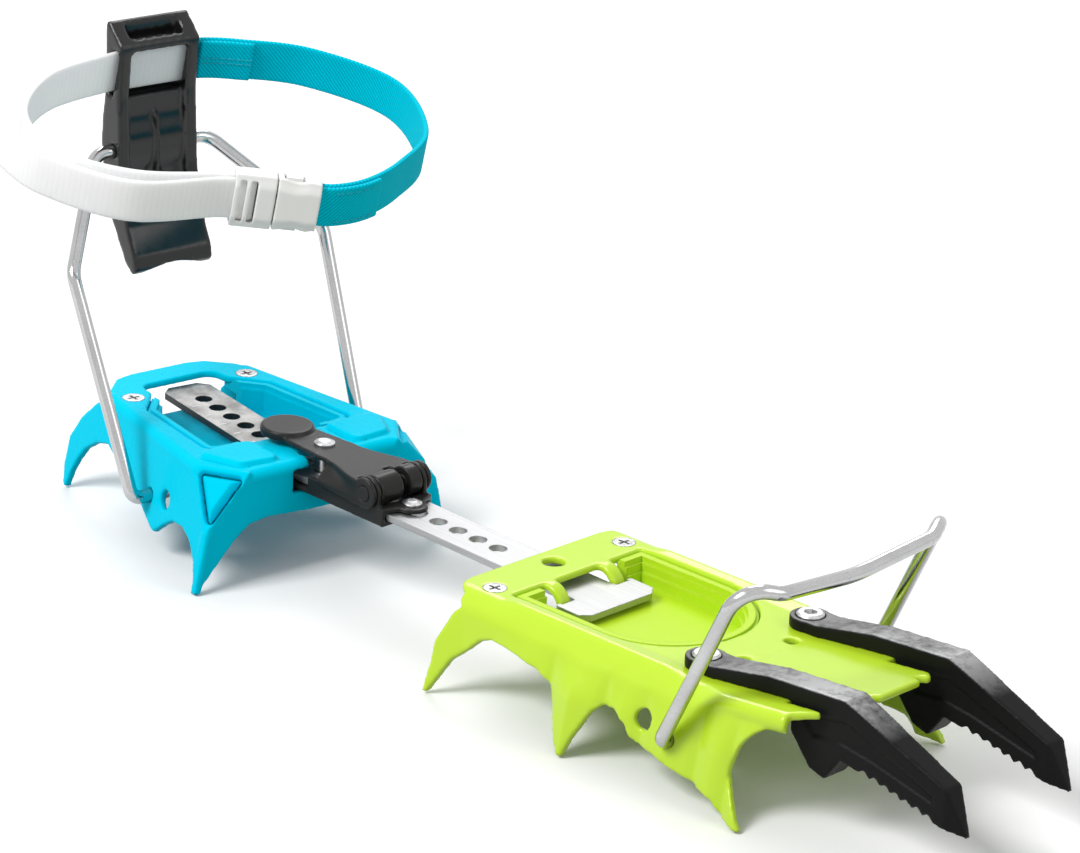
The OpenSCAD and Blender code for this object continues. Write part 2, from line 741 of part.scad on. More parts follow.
module link_bar() {
    w = bar_w / 2;
    lip_y = hook_y + hook_w + slide_gap;
    miter = w * tan(bar_kink / 2);
    back = [-cos(bar_kink), sin(bar_kink)];
    left = [sin(bar_kink), cos(bar_kink)];
    rear = [bar_kink_x, 0] + back * bar_rear_len;
    rear_hole = 2 * hole_step - stud_x + bar_kink_x;
    steps = floor((bar_rear_len - rear_hole - 5) / hole_step);
    front_steps = floor((band_rear_x - 8 - stud_x) / hole_step);
    head = [
        [bar_kink_x + miter, w], [head_x - 1.2, w], [head_x, w + 0.4], [head_x, lip_y],
        [head_x - 1, lip_y], [head_x - 1, head_w / 2 - 0.4], [head_x, head_w / 2],
        [head_x + head_len - 2.5, head_w / 2], [head_x + head_len, head_w / 2 - 3]];
    right = [for (i = [len(head) - 1:-1:1]) [head[i][0], -head[i][1]]];
    end = [[bar_kink_x - miter, -w], rear - back * 3 - left * w, rear - left * (w - 3),
        rear + left * (w - 3), rear - back * 3 + left * w];
    in_bar() translate([0, 0, -bar_t]) linear_extrude(height = bar_t)
        difference() {
            polygon(concat(head, right, end));
            for (i = [-1:front_steps]) translate([stud_x + i * hole_step, 0]) circle(r = hole_r, $fn = 32);
            for (i = [0:steps])
                translate([bar_kink_x, 0] + back * (rear_hole + i * hole_step)) circle(r = hole_r, $fn = 32);
        }
}

// Outer face of the heel's right wall: along the fold, then down
module heel_wall_plane() {
    c = cos(heel_taper);
    k = sin(heel_taper);
    f = heel_flare;
    multmatrix([
        [c, -k * sin(f), k * cos(f), 0],
        [-k, -c * sin(f), c * cos(f), -heel_front_y],
        [0, -cos(f), -sin(f), heel_h],
        [0, 0, 0, 1]]) children();
}

module heel_wall() {
    t1 = heel_tooth1_s;
    t2 = heel_tooth2_s;
    a1 = heel_arch1_z;
    a2 = heel_arch2_z;
    f = heel_front_x;
    below = [
        [t1 + 10, heel_h - 4], [t1 + 1.7, 22.7], [t1 - 3, 15.1], [t1 - 3, 6.5],
        [t1 - tip_w / 2, heel_tip_z], [t1 + tip_w / 2, heel_tip_z],
        [t1 + 2.2, 5.5], [t1 + 4.6, 10.2], [t1 + 8.4, 15], [t1 + 14.5, a1 - 2.2], [t1 + 22, a1],
        [heel_hole_x - 4, heel_hole_z - 4.4], [t2 - 2.5, heel_tooth2_z + 0.5], [t2, heel_tooth2_z],
        [t2 + 5, a2 - 3.4], [t2 + 10, a2 - 0.5], [t2 + 16.5, a2], [f - 8.5, a2 - 2], [f - 3.5, a2 - 6.5],
        [f + 0.4, heel_tip_z], [f + 1.9, heel_tip_z], [f + 0.9, ridge_z]];
    difference() {
        heel_wall_plane()
            difference() {
                linear_extrude(height = heel_t)
                    polygon(concat(
                        [[corner_x, heel_e], [heel_rear_x + 9, heel_e]],
                        [for (p = below) [p[0], heel_d(p[1])]]));
                translate([heel_spare_s, heel_d(heel_spare_z), -eps])
                    cylinder(r = spare_r, h = heel_t + 2 * eps, $fn = 48);
            }
        across(heel_hole_x, heel_hole_z, pivot_r, -through, 0, $fn = 48);
    }
    heel_wall_plane() difference() {
        union() {
            translate([heel_rear_x + 11, heel_e, fold_r]) rotate([0, 90, 0])
                cylinder(r = fold_r + fold_proud, h = corner_x - heel_rear_x - 12);
            translate([heel_rear_x + 11 + fold_lap, heel_e, fold_r])
                sphere(r = fold_r + fold_proud - fold_skin);
        }
        fold_inside(heel_rear_x + 11 - 2 * fold_r, corner_x - 2, heel_e, heel_flare);
    }
}

// Slanted corner between side wall and skirt with a raised rim
module heel_corner() {
    a = [corner_x, -heel_w(corner_x), corner_z];
    b = [heel_front_x, -corner_y, corner_z];
    c = [heel_front_x, -heel_wall_y(heel_front_x, ridge_z), ridge_z];
    u = unit(b - a);
    v = cross(unit(cross(u, c - a)), u);
    tri = [[0, 0], [norm(b - a), 0], [(c - a) * u, (c - a) * v]];
    mid = (tri[0] + tri[1] + tri[2]) / 3;
    small = [for (q = tri) mid + (q - mid) * 0.62];
    on_plane(a, b, c) {
        translate([0, 0, -fold_proud]) linear_extrude(height = heel_t + fold_proud)
            polygon([for (q = tri) mid + (q - mid) * facet_lap]);
        translate([0, 0, -rim_h]) linear_extrude(height = rim_h + eps)
            difference() {
                offset(r = 1.2) polygon(small);
                offset(delta = -1) polygon(small);
            }
    }
}

module heel_skirt() {
    tip_y = heel_wall_y(heel_front_x, 0);
    side_y = heel_wall_y(heel_front_x, ridge_z);
    a = skirt_arch_z;
    half = [
        [a, 6], [a + 0.8, 19.7], [a - 0.3, 26.4], [a - 4, 31.1], [a - 9, 35.8], [3.3, tip_y - 4.6],
        [0, tip_y - 1.8], [0, tip_y - 0.4], [ridge_z, side_y], [corner_z, corner_y],
        [heel_h - fold_r, corner_y - 2]];
    translate([skirt_in, 0, 0]) rotate([0, -90, 0]) mirror([0, 0, 1]) linear_extrude(height = heel_t)
        polygon(mirrored(half));
}

module heel_opening(gap) {
    offset(delta = -gap) offset(r = 4) offset(delta = -4)
        polygon(mirrored([
            [heel_rear_x + 10, 13], [heel_screw_x - 1, 13.4], [heel_screw_x + 4, 17.5],
            [heel_screw_x + 10, heel_w(heel_screw_x + 10) - 6], [-12, heel_w(-12) - 8], [-10, 21]]));
}

module heel_pad() {
    outline = [[-5, -5.5], [5, -5.5], [4, 3], [-5, 7]];
    translate([-1, 21.7, heel_h - eps]) {
        linear_extrude(height = pad_h - 0.5 + eps) offset(r = 3) polygon(outline);
        translate([0, 0, pad_h - 0.5]) linear_extrude(height = 0.5 + eps) offset(r = 2.4) polygon(outline);
    }
}

module heel_frame() {
    in_heel() difference() {
        union() {
            translate([0, 0, heel_h - heel_t]) linear_extrude(height = heel_t)
                difference() {
                    polygon(mirrored([
                        [heel_rear_x, 10], [heel_rear_x + 1.5, 16],
                        [heel_rear_x + 9, heel_w(heel_rear_x + 9) - heel_e],
                        [corner_x, heel_w(corner_x) - heel_e / 2], [corner_x, heel_w(corner_x)],
                        [heel_front_x, corner_y], [heel_front_x, corner_y - 1],
                        [heel_front_x - fold_r, corner_y - 2]]));
                    heel_opening(0);
                }
            difference() {
                across(heel_front_x - fold_r, heel_h - fold_r, fold_r + fold_proud,
                    -corner_y + 1, corner_y - 1);
                block([heel_front_x - 3 * fold_r, -corner_y, heel_h - 3 * fold_r],
                    [heel_front_x - fold_r + fold_room, corner_y, heel_h - fold_r + fold_room]);
            }
            both_sides() heel_wall();
            both_sides() heel_corner();
            heel_skirt();
            both_sides() heel_pad();
        }
        block([skirt_in - 1, -slot_y, slot_floor], [through, slot_y, slot_top]);
        block([stud_slot_rear, -stud_slot_y, slot_floor + 1], [through, stud_slot_y, through]);
        both_sides() translate([heel_screw_x, heel_screw_y, heel_h - heel_t - eps]) {
            cylinder(r = screw_r + run_gap, h = heel_t + 2 * eps);
            translate([0, 0, heel_t - screw_cone])
                cylinder(r1 = screw_r + run_gap, r2 = screw_head_r + run_gap, h = screw_cone + 2 * eps);
        }
    }
}

module heel_tray() {
    under = heel_h - heel_t;
    floor_z = slot_floor - 0.6;
    in_heel() difference() {
        union() {
            translate([0, 0, floor_z - tray_floor_t]) linear_extrude(height = under - floor_z + tray_floor_t)
                heel_opening(tray_gap + 1.6);
            translate([0, 0, under - 2.5]) linear_extrude(height = 2.5 + heel_t - tray_lip - 0.8)
                heel_opening(tray_gap);
            translate([0, 0, under + heel_t - tray_lip - 1]) linear_extrude(height = 1)
                heel_opening(tray_gap + 0.8);
            both_sides() block([heel_screw_x - 3, 8, under - tray_ear_t],
                [heel_screw_x + 8, heel_screw_y, under]);
            both_sides() translate([heel_screw_x, heel_screw_y, under - tray_ear_t])
                cylinder(r = 3, h = tray_ear_t);
        }
        translate([0, 0, floor_z]) linear_extrude(height = through) heel_opening(tray_gap + 3.6);
        translate([0, 0, under + heel_t - tray_lip - 1.6]) linear_extrude(height = through)
            heel_opening(tray_gap + 2.6);
        block([heel_rear_x - 5, -tray_slot_y, floor_z], [heel_screw_x + 12, tray_slot_y, through]);
        block([-20, -tray_slot_y, floor_z], [through, tray_slot_y, through]);
        both_sides() translate([heel_screw_x, heel_screw_y, 0]) cylinder(r = screw_r + run_gap, h = through);
    }
}

module heel_tray_screws() {
    in_heel() both_sides() translate([heel_screw_x, heel_screw_y, heel_h]) tray_screw();
}

module adjuster_base() {
    difference() {
        union() {
            in_bar() {
                block([stud_x - 6, -base_out, floor_top - adjust_t], [tail_x - 2, base_out, floor_top]);
                both_sides() {
                    block([base_rear, base_in, floor_top - adjust_t],
                        [tail_x - 2, base_out, 0.3 + adjust_t]);
                    block([barrel_x - barrel_r, base_in, 0], [barrel_x + barrel_r, base_out, barrel_z]);
                    across(barrel_x, barrel_z, barrel_r, base_in, base_out);
                }
                translate([0, 0, 0.3]) linear_extrude(height = adjust_t) {
                    polygon(mirrored([
                        [barrel_x + 4.2, base_out], [tail_x - 2, base_out], [tail_x, tail_r],
                        [tail_x + 2, tail_r - 0.4], [tail_x + tail_r, 1.2]]));
                    translate([tail_x, 0]) circle(r = tail_r);
                }
            }
            in_heel() difference() {
                block([skirt_in - 1.8, -bracket_y - 4, slot_floor - 5],
                    [skirt_in, bracket_y + 4, slot_floor + 4]);
                block([skirt_in - 5, -bracket_y, slot_floor + 1.6],
                    [skirt_in + 1, bracket_y, through]);
            }
        }
        in_bar() across(barrel_x, barrel_z, hinge_r, -through, through);
        in_bar() translate([tail_x, 0, 0]) cylinder(r = 1.6, h = 5);
    }
}

module adjuster_rivet() {
    in_bar() translate([tail_x, 0, 0.3]) {
        cylinder(r = 1.6, h = adjust_t + 0.2);
        translate([0, 0, adjust_t]) cylinder(r = 2.9, h = 0.7);
        translate([0, 0, adjust_t + 0.7]) cylinder(r1 = 2.9, r2 = 1.5, h = 0.6);
    }
}

module adjuster_hinge_pins() {
    in_bar() {
        across(barrel_x, barrel_z, hinge_r, -flange_out, knuckle_gap0);
        across(barrel_x, barrel_z, hinge_r, knuckle_gap1, flange_out);
    }
}

module adjuster_lever() {
    top = arm_z + adjust_t;
    in_bar() difference() {
        union() {
            translate([0, 0, arm_z]) linear_extrude(height = adjust_t)
                polygon(mirrored([
                    [tongue_x, arm_w / 2 - 1], [stud_x, arm_w / 2], [flange_x - 5, arm_w / 2 + 0.4],
                    [flange_x, flange_out - 0.8], [flange_x + 3, flange_out], [barrel_x, flange_out]]));
            translate([tongue_x, 0, arm_z]) cylinder(r = tongue_r, h = adjust_t + tongue_h - 0.5);
            translate([tongue_x, 0, top + tongue_h - 0.5])
                cylinder(r1 = tongue_r, r2 = tongue_r - 0.5, h = 0.5);
            both_sides() {
                translate([0, flange_out, 0]) rotate([90, 0, 0]) linear_extrude(height = adjust_t)
                    polygon([
                        [flange_x + 0.6, top - 0.1], [flange_x + 0.6, arm_z - 3.4],
                        [flange_x + 1, arm_z - 5], [flare_x + 4, 0.6], [barrel_x, 0.6],
                        [barrel_x, top - 0.1]]);
                across(barrel_x, barrel_z, barrel_r, flange_in, flange_out);
            }
            across(barrel_x, barrel_z, barrel_r, -knuckle_y, knuckle_gap0);
            across(barrel_x, barrel_z, barrel_r, knuckle_gap1, knuckle_y);
        }
        across(barrel_x, barrel_z, hinge_r + run_gap, -through, through, $fn = 40);
        block([barrel_x - barrel_r - 0.3, knuckle_gap0, -5], [barrel_x + through, knuckle_gap1, through]);
        both_sides() translate([barrel_x, base_out + slide_gap, barrel_z]) rotate([90, 0, 0])
            cylinder(r = barrel_r + slide_gap, h = base_out - base_in + 2 * slide_gap);
        translate([stud_x, 0, 0]) cylinder(r = stud_r, h = through);
    }
}

module lock_stud() {
    in_bar() translate([stud_x, 0, 0]) {
        translate([0, 0, -bar_t - 0.2]) cylinder(r = stud_r, h = bar_t + 0.2 + arm_z + adjust_t + 0.2);
        translate([0, 0, arm_z + adjust_t]) cylinder(r = 3.1, h = 0.7);
        translate([0, 0, arm_z + adjust_t + 0.7]) cylinder(r1 = 3.1, r2 = 1.6, h = 0.6);
    }
}

module heel_bail() {
    y = heel_wall_y(bail_x, bail_z) + wire_r + leg_room + 1.4;
    inner = heel_wall_y(bail_x, bail_z) - heel_t - 4;
    half = [
        [bail_x, inner, bail_z], [bail_x, y, bail_z], [bail_x - knee_back, knee_y, bail_z + knee_up],
        [pivot_x, lever_y + 6.2, pivot_z]];
    path = concat([for (p = half) [p[0], -p[1], p[2]]], [for (i = [3:-1:0]) half[i]]);
    in_heel() wire(path, [hole_bend, bend_r, bend_r, bend_r, bend_r, hole_bend], wire_r);
}

module heel_lever() {
    f = lever_d / 2;
    up = lever_up;
    down = lever_down;
    in_heel() translate([pivot_x, 0, pivot_z]) difference() {
        translate([0, lever_y, 0]) rotate([90, 0, 0]) linear_extrude(height = lever_w)
            offset(r = 1) offset(delta = -1) polygon([
                [f, up - 8], [f - 0.2, up - 11], [f - 1.3, 17], [f - 0.9, 8], [f - 0.5, 2], [f - 0.1, -6],
                [f + 1.1, -14], [tail_flare + 0.5, 14 - down], [tail_flare + 4.4, 6 - down],
                [tail_flare + 5.5, 2 - down], [tail_flare + 3.6, -down], [tail_flare + 0.2, 2 - down],
                [tail_flare - 2.7, 6 - down], [tail_flare - 7.8, 14 - down], [1.4 - f, -14],
                [-f - 0.8, -6], [-f - 1.6, 2], [-f - 1.1, 10], [0.2 - f, 18], [0.8 - f, 26],
                [0.4 - f, up - 5], [1.2 - f, up - 0.6]]);
        across(0, 0, pivot_r, -through, through, $fn = 48);
        translate([strap_dx - strap_dip, 0, strap_up]) rotate([0, strap_tilt, 0]) {
            block([-strap_t / 2 - strap_room, -through, -strap_w / 2 - strap_edge_room],
                [strap_t / 2 + strap_room, through, strap_w / 2 + strap_edge_room]);
            rotate([0, 90, 0]) linear_extrude(height = through)
                offset(r = 1.5) square([strap_w - 1, window_w - 3], center = true);
        }
        translate([0.4, 0, up - 9]) linear_extrude(height = through)
            offset(r = 1.4) square([1.8, window_w - 4], center = true);
        for (y = [-flute_y, flute_y])
            rod([f + 1, y, flute_top - 1], [f + tail_flare - 2.2, y, -flute_top], flute_r);
        translate([-through / 2, 0, -down - 24]) rotate([0, 90, 0])
            cylinder(r = 26.4, h = through, $fn = 96);
    }
}

module in_strap() {
    in_heel() translate([pivot_x + strap_dx, 0, pivot_z + strap_up]) rotate([0, strap_tilt, 0]) children();
}

module strap_white() {
    tail0 = buckle_at + buckle_dir * 5;
    turn = tail0 - buckle_dir * strap_t / 2;
    in_strap() translate([0, 0, -strap_w / 2]) linear_extrude(height = strap_w) {
        strip(smooth([
            [-strap_dip, lever_y], [-strap_dip, 5], [-strap_dip, -8], [-strap_dip, -lever_y - 1],
            [3 * kx, -40 * ky], [20 * kx, -59 * ky], [42 * kx, -62 * ky], [60 * kx, -47 * ky],
            buckle_at - buckle_dir * 4, tail0]), strap_t);
        strip([turn, turn + buckle_out * fold_back], strap_t);
        strip(smooth([
            tail0 + buckle_out * fold_back, buckle_at - buckle_dir * 4 + buckle_out * (fold_back + 0.3),
            [64 * kx + 1, -50 * ky - 1], [44 * kx, -66 * ky - 1], [27 * kx, -68 * ky - 1.5]]), strap_t);
    }
}

module strap_blue() {
    in_strap() translate([0, 0, -strap_w / 2]) linear_extrude(height = strap_w)
        strip(smooth([
            [-strap_dip, lever_y + strap_join], [-strap_dip - 0.2, lever_y + 4], [1.4 * kx, 28 * ky],
            [13 * kx, 47 * ky], [38 * kx, 61 * ky], [66 * kx, 52 * ky], [79.5 * kx, 33 * ky],
            [85.4 * kx, 17 * ky],
            buckle_end + buckle_dir * 4, buckle_end - buckle_dir * 3]),
            strap_t);
}

module in_buckle() {
    in_strap() translate([buckle_at[0], buckle_at[1], 0]) rotate(buckle_turn)
        translate([0, -1.1, 0]) children();
}

module buckle_frame() {
    h = buckle_h / 2;
    t = buckle_t / 2;
    in_buckle() difference() {
        union() {
            block([0, -t, -h], [split_x, t, h]);
            block([split_x - 1, -latch_t / 2, -guide_z], [split_x + 7, latch_t / 2, guide_z]);
        }
        block([-1, -fold_back + 1.1 - strap_t / 2 - 0.5, -strap_w / 2 - 0.6],
            [7, 1.1 + strap_t / 2 + 0.5, strap_w / 2 + 0.6]);
        for (x = [1.6, 4.8])
            block([x, -through, -strap_w / 2 - 0.2], [x + 1.8, 0, strap_w / 2 + 0.2]);
    }
}

module buckle_latch() {
    h = buckle_h / 2;
    block([split_x + 0.05, -latch_t / 2, latch_z], [split_x + 7.4, latch_t / 2, h - 2.6]);
    block([split_x + 2.6, -latch_t / 2, latch_z], [split_x + 7.4, latch_t / 2, h]);
}

module buckle_latch_top() {
    in_buckle() buckle_latch();
}

module buckle_latch_bottom() {
    in_buckle() mirror([0, 0, 1]) buckle_latch();
}

module buckle_socket() {
    h = buckle_h / 2;
    t = buckle_t / 2;
    in_buckle() difference() {
        block([split_x + 0.4, -t, -h], [buckle_len, t, h]);
        block([split_x, -latch_t / 2 - slide_gap, -h + 2.2],
            [split_x + 7.8, latch_t / 2 + slide_gap, h - 2.2]);
        block([split_x + 2.2, -latch_t / 2 - slide_gap, -h - 1],
            [split_x + 7.8, latch_t / 2 + slide_gap, h + 1]);
        block([buckle_len - 4, 1.1 - strap_t / 2 - 0.5, -strap_w / 2 - 0.6],
            [through, 1.1 + strap_t / 2 + 0.5, strap_w / 2 + 0.6]);
    }
}

color(lime) placed() front_frame();
color(lime) placed() front_tray();
color(steel) placed() front_tray_screws();
color(black) placed() front_point_right();
color(black) placed() front_point_left();
color(steel) placed() front_point_bolts();
color(steel) placed() front_point_nuts();
color(steel) placed() toe_bail();
color(steel) placed() link_bar();
color(teal) placed() heel_frame();
color(teal) placed() heel_tray();
color(steel) placed() heel_tray_screws();
color(black) placed() adjuster_base();
color(steel) placed() adjuster_rivet();
color(steel) placed() adjuster_hinge_pins();
color(black) placed() adjuster_lever();
color(steel) placed() lock_stud();
color(steel) placed() heel_bail();
color(black) placed() heel_lever();
color(white) placed() strap_white();
color(blue) placed() strap_blue();
color(white) placed() buckle_frame();
color(white) placed() buckle_latch_top();
color(white) placed() buckle_latch_bottom();
color(white) placed() buckle_socket();
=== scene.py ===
"""Looks of an automatic crampon: finishes for its solids, webbing straps with stitching, and a studio."""
import math

import bpy
from mathutils import Matrix, Vector


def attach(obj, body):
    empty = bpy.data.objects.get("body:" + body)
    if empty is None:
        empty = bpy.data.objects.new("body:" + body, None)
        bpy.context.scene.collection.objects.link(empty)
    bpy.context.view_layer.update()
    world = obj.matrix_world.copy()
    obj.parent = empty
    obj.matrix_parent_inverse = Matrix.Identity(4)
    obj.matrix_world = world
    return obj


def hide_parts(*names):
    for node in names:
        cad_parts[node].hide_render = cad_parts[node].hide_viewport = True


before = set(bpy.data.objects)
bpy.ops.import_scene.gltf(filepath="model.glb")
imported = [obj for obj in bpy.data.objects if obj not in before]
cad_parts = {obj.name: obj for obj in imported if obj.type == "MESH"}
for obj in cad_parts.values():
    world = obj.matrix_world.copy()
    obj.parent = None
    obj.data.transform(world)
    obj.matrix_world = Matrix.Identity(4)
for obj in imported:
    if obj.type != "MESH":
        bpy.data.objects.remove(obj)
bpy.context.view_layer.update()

bl_info = {
    "name": "Automatic crampon",
    "version": (1, 0, 0),
    "blender": (4, 5, 0),
    "location": "3D view > Sidebar > Crampon",
    "description": "Finishes, straps and studio of an automatic crampon",
    "category": "Object",
}

# Places in the crampon's own frame, in millimetres and degrees

MM = 0.001
# The part's origin in the crampon's frame
ORIGIN = Vector((-9.98, 2.44, 0.0))
HEEL_AT = (-100, 0.86, 0)
HEEL_TURN = -7.33
# Middle of the bail's top wire in the heel's frame: the lever turns on it
LEVER_AT = (-82, 0, 104)
STRAP_FROM_LEVER = (2.2, 0, 24)
STRAP_TILT = 13.7
# The bar is pitched about its hook, and its rear run turns aside at the kink
HOOK_X = 16
BAR_TOP = 26.2
BAR_PITCH = 1.5
KINK_X = -101
KINK_TURN = 10.2


def at(point):
    """A point in the crampon's millimetres as a place in the scene."""
    return (Vector(point) - ORIGIN) * MM


def scene_move(place):
    """A frame in the crampon's millimetres as a move of a mesh that was modelled at the origin."""
    return Matrix.Translation(-ORIGIN * MM) @ Matrix.Scale(MM, 4) @ place @ Matrix.Scale(1 / MM, 4)


def turned(degrees, axis):
    return Matrix.Rotation(math.radians(degrees), 4, axis)


HEEL = Matrix.Translation(HEEL_AT) @ turned(HEEL_TURN, "Z")
LEVER = HEEL @ Matrix.Translation(LEVER_AT)
# Plane of the ankle strap: X forward, Y to the left, Z across the webbing
STRAP = LEVER @ Matrix.Translation(STRAP_FROM_LEVER) @ turned(STRAP_TILT, "Y")
# Z of the bar's frame is 0 on its top face; X of its rear run goes to the bar's end
BAR = Matrix.Translation((HOOK_X, 0, BAR_TOP)) @ turned(BAR_PITCH, "Y") @ Matrix.Translation((-HOOK_X, 0, 0))
BAR_REAR = BAR @ Matrix.Translation((KINK_X, 0, 0)) @ turned(180 - KINK_TURN, "Z")


# Node helpers

# Sockets of a Mix node that mixes colours
MIX_FACTOR, MIX_A, MIX_B, MIX_RESULT = 0, 6, 7, 2
COLOR, FLOAT, VECTOR = "NodeSocketColor", "NodeSocketFloat", "NodeSocketVector"


class Graph:
    """Short way to add and join nodes in one tree."""

    def __init__(self, tree):
        self.tree = tree

    def feed(self, socket, value):
        """Give a socket another node's output, or a constant."""
        if hasattr(value, "is_output"):
            self.tree.links.new(value, socket)
        else:
            socket.default_value = value

    def add(self, kind, values=None, **settings):
        node = self.tree.nodes.new(kind)
        for key, value in settings.items():
            setattr(node, key, value)
        for key, value in (values or {}).items():
            self.feed(node.inputs[key], value)
        return node

    def math(self, operation, a, b=0.0, clamp=False):
        return self.add("ShaderNodeMath", {0: a, 1: b}, operation=operation, use_clamp=clamp).outputs[0]

    def swing(self, value, amount):
        """A value from 0 to 1 as a swing of this amount about zero."""
        return self.math("MULTIPLY", self.math("SUBTRACT", value, 0.5), amount)

    def noise(self, vector, scale, detail=3.0, roughness=0.5):
        values = {"Vector": vector, "Scale": scale, "Detail": detail, "Roughness": roughness}
        return self.add("ShaderNodeTexNoise", values).outputs["Fac"]

    def stretch(self, vector, scale):
        return self.add("ShaderNodeMapping", {"Vector": vector, "Scale": scale}).outputs[0]

    def split(self, vector):
        return self.add("ShaderNodeSeparateXYZ", {0: vector}).outputs

    def band(self, value, low, high):
        """0 at low, 1 at high, and a ramp between them."""
        values = {"Value": value, "From Min": low, "From Max": high}
        return self.add("ShaderNodeMapRange", values, clamp=True).outputs[0]

    def mix(self, factor, a, b):
        """Colour a where the factor is 0, colour b where it is 1."""
        values = {MIX_FACTOR: factor, MIX_A: a, MIX_B: b}
        return self.add("ShaderNodeMix", values, data_type="RGBA").outputs[MIX_RESULT]

    def round_edge(self, radius):
        return self.add("ShaderNodeBevel", {"Radius": radius}, samples=4).outputs[0]

    def bump(self, height, strength, distance, normal=None):
        values = {"Height": height, "Strength": strength, "Distance": distance}
        if normal is not None:
            values["Normal"] = normal
        return self.add("ShaderNodeBump", values).outputs[0]


def new_group(name, inputs, outputs):
    """New node group with its graph, its inputs and its output sockets."""
    tree = bpy.data.node_groups.new(name, "ShaderNodeTree")
    for label, kind, default in inputs:
        socket = tree.interface.new_socket(label, in_out="INPUT", socket_type=kind)
        if default is not None:
            socket.default_value = default
    for label, kind in outputs:
        tree.interface.new_socket(label, in_out="OUTPUT", socket_type=kind)
    g = Graph(tree)
    return tree, g, g.add("NodeGroupInput").outputs, g.add("NodeGroupOutput").inputs


def coat_group():
    """Sprayed or moulded skin: slow tone drift, fine peel, scuffs and worn rims."""
    tree, g, inputs, outputs = new_group(
        "coated skin",
        [("Color", COLOR, None), ("Wear Color", COLOR, None), ("Wear", FLOAT, 0.2), ("Drift", FLOAT, 0.06),
         ("Peel Scale", FLOAT, 1800.0), ("Peel", FLOAT, 0.1), ("Roughness", FLOAT, 0.35),
         ("Round", FLOAT, 0.6 * MM)],
        [("Color", COLOR), ("Roughness", FLOAT), ("Normal", VECTOR)])
    place = g.add("ShaderNodeTexCoord").outputs["Object"]
    slow = g.noise(place, scale=22.0, detail=4.0)
    fine = g.noise(place, inputs["Peel Scale"], detail=2.0)
    scuff = g.noise(g.stretch(place, (260, 420, 260)), scale=1.0, detail=6.0, roughness=0.65)
    edge = g.round_edge(inputs["Round"])
    flat = g.add("ShaderNodeNewGeometry").outputs["Normal"]
    turn = g.add("ShaderNodeVectorMath", {0: edge, 1: flat}, operation="DOT_PRODUCT").outputs["Value"]
    rim = g.band(turn, low=0.985, high=0.86)
    rubbed = g.math("MULTIPLY", rim, g.band(scuff, low=0.42, high=0.62))
    worn = g.math("MULTIPLY", rubbed, inputs["Wear"], clamp=True)
    shade = g.math("ADD", g.swing(slow, inputs["Drift"]), 1.0)
    tone = g.add("ShaderNodeVectorMath", {0: inputs["Color"], "Scale": shade}, operation="SCALE").outputs[0]
    g.feed(outputs["Color"], g.mix(worn, tone, inputs["Wear Color"]))
    g.feed(outputs["Roughness"], g.math("ADD", inputs["Roughness"], g.swing(scuff, amount=0.16)))
    g.feed(outputs["Normal"], g.bump(fine, inputs["Peel"], distance=0.2 * MM, normal=edge))
    return tree


def brushed_group():
    """Bare steel with drawn lines along one axis, smears and rounded rims."""
    tree, g, inputs, outputs = new_group(
        "drawn steel",
        [("Color", COLOR, None), ("Dark", COLOR, None), ("Lines", VECTOR, (30.0, 2600.0, 2600.0)),
         ("Depth", FLOAT, 0.08), ("Roughness", FLOAT, 0.3), ("Round", FLOAT, 0.4 * MM)],
        [("Color", COLOR), ("Roughness", FLOAT), ("Normal", VECTOR)])
    place = g.add("ShaderNodeTexCoord").outputs["Object"]
    scaled = g.add("ShaderNodeVectorMath", {0: place, 1: inputs["Lines"]}, operation="MULTIPLY").outputs[0]
    lines = g.noise(scaled, scale=1.0, detail=4.0, roughness=0.6)
    smear = g.noise(place, scale=70.0, detail=5.0, roughness=0.6)
    blend = g.math("ADD", g.math("MULTIPLY", lines, 0.6), g.math("MULTIPLY", smear, 0.4))
    g.feed(outputs["Color"], g.mix(g.band(blend, low=0.36, high=0.64), inputs["Dark"], inputs["Color"]))
    g.feed(outputs["Roughness"], g.math("ADD", inputs["Roughness"], g.swing(smear, amount=0.3), clamp=True))
    edge = g.round_edge(inputs["Round"])
    g.feed(outputs["Normal"], g.bump(lines, inputs["Depth"], distance=0.1 * MM, normal=edge))
    return tree


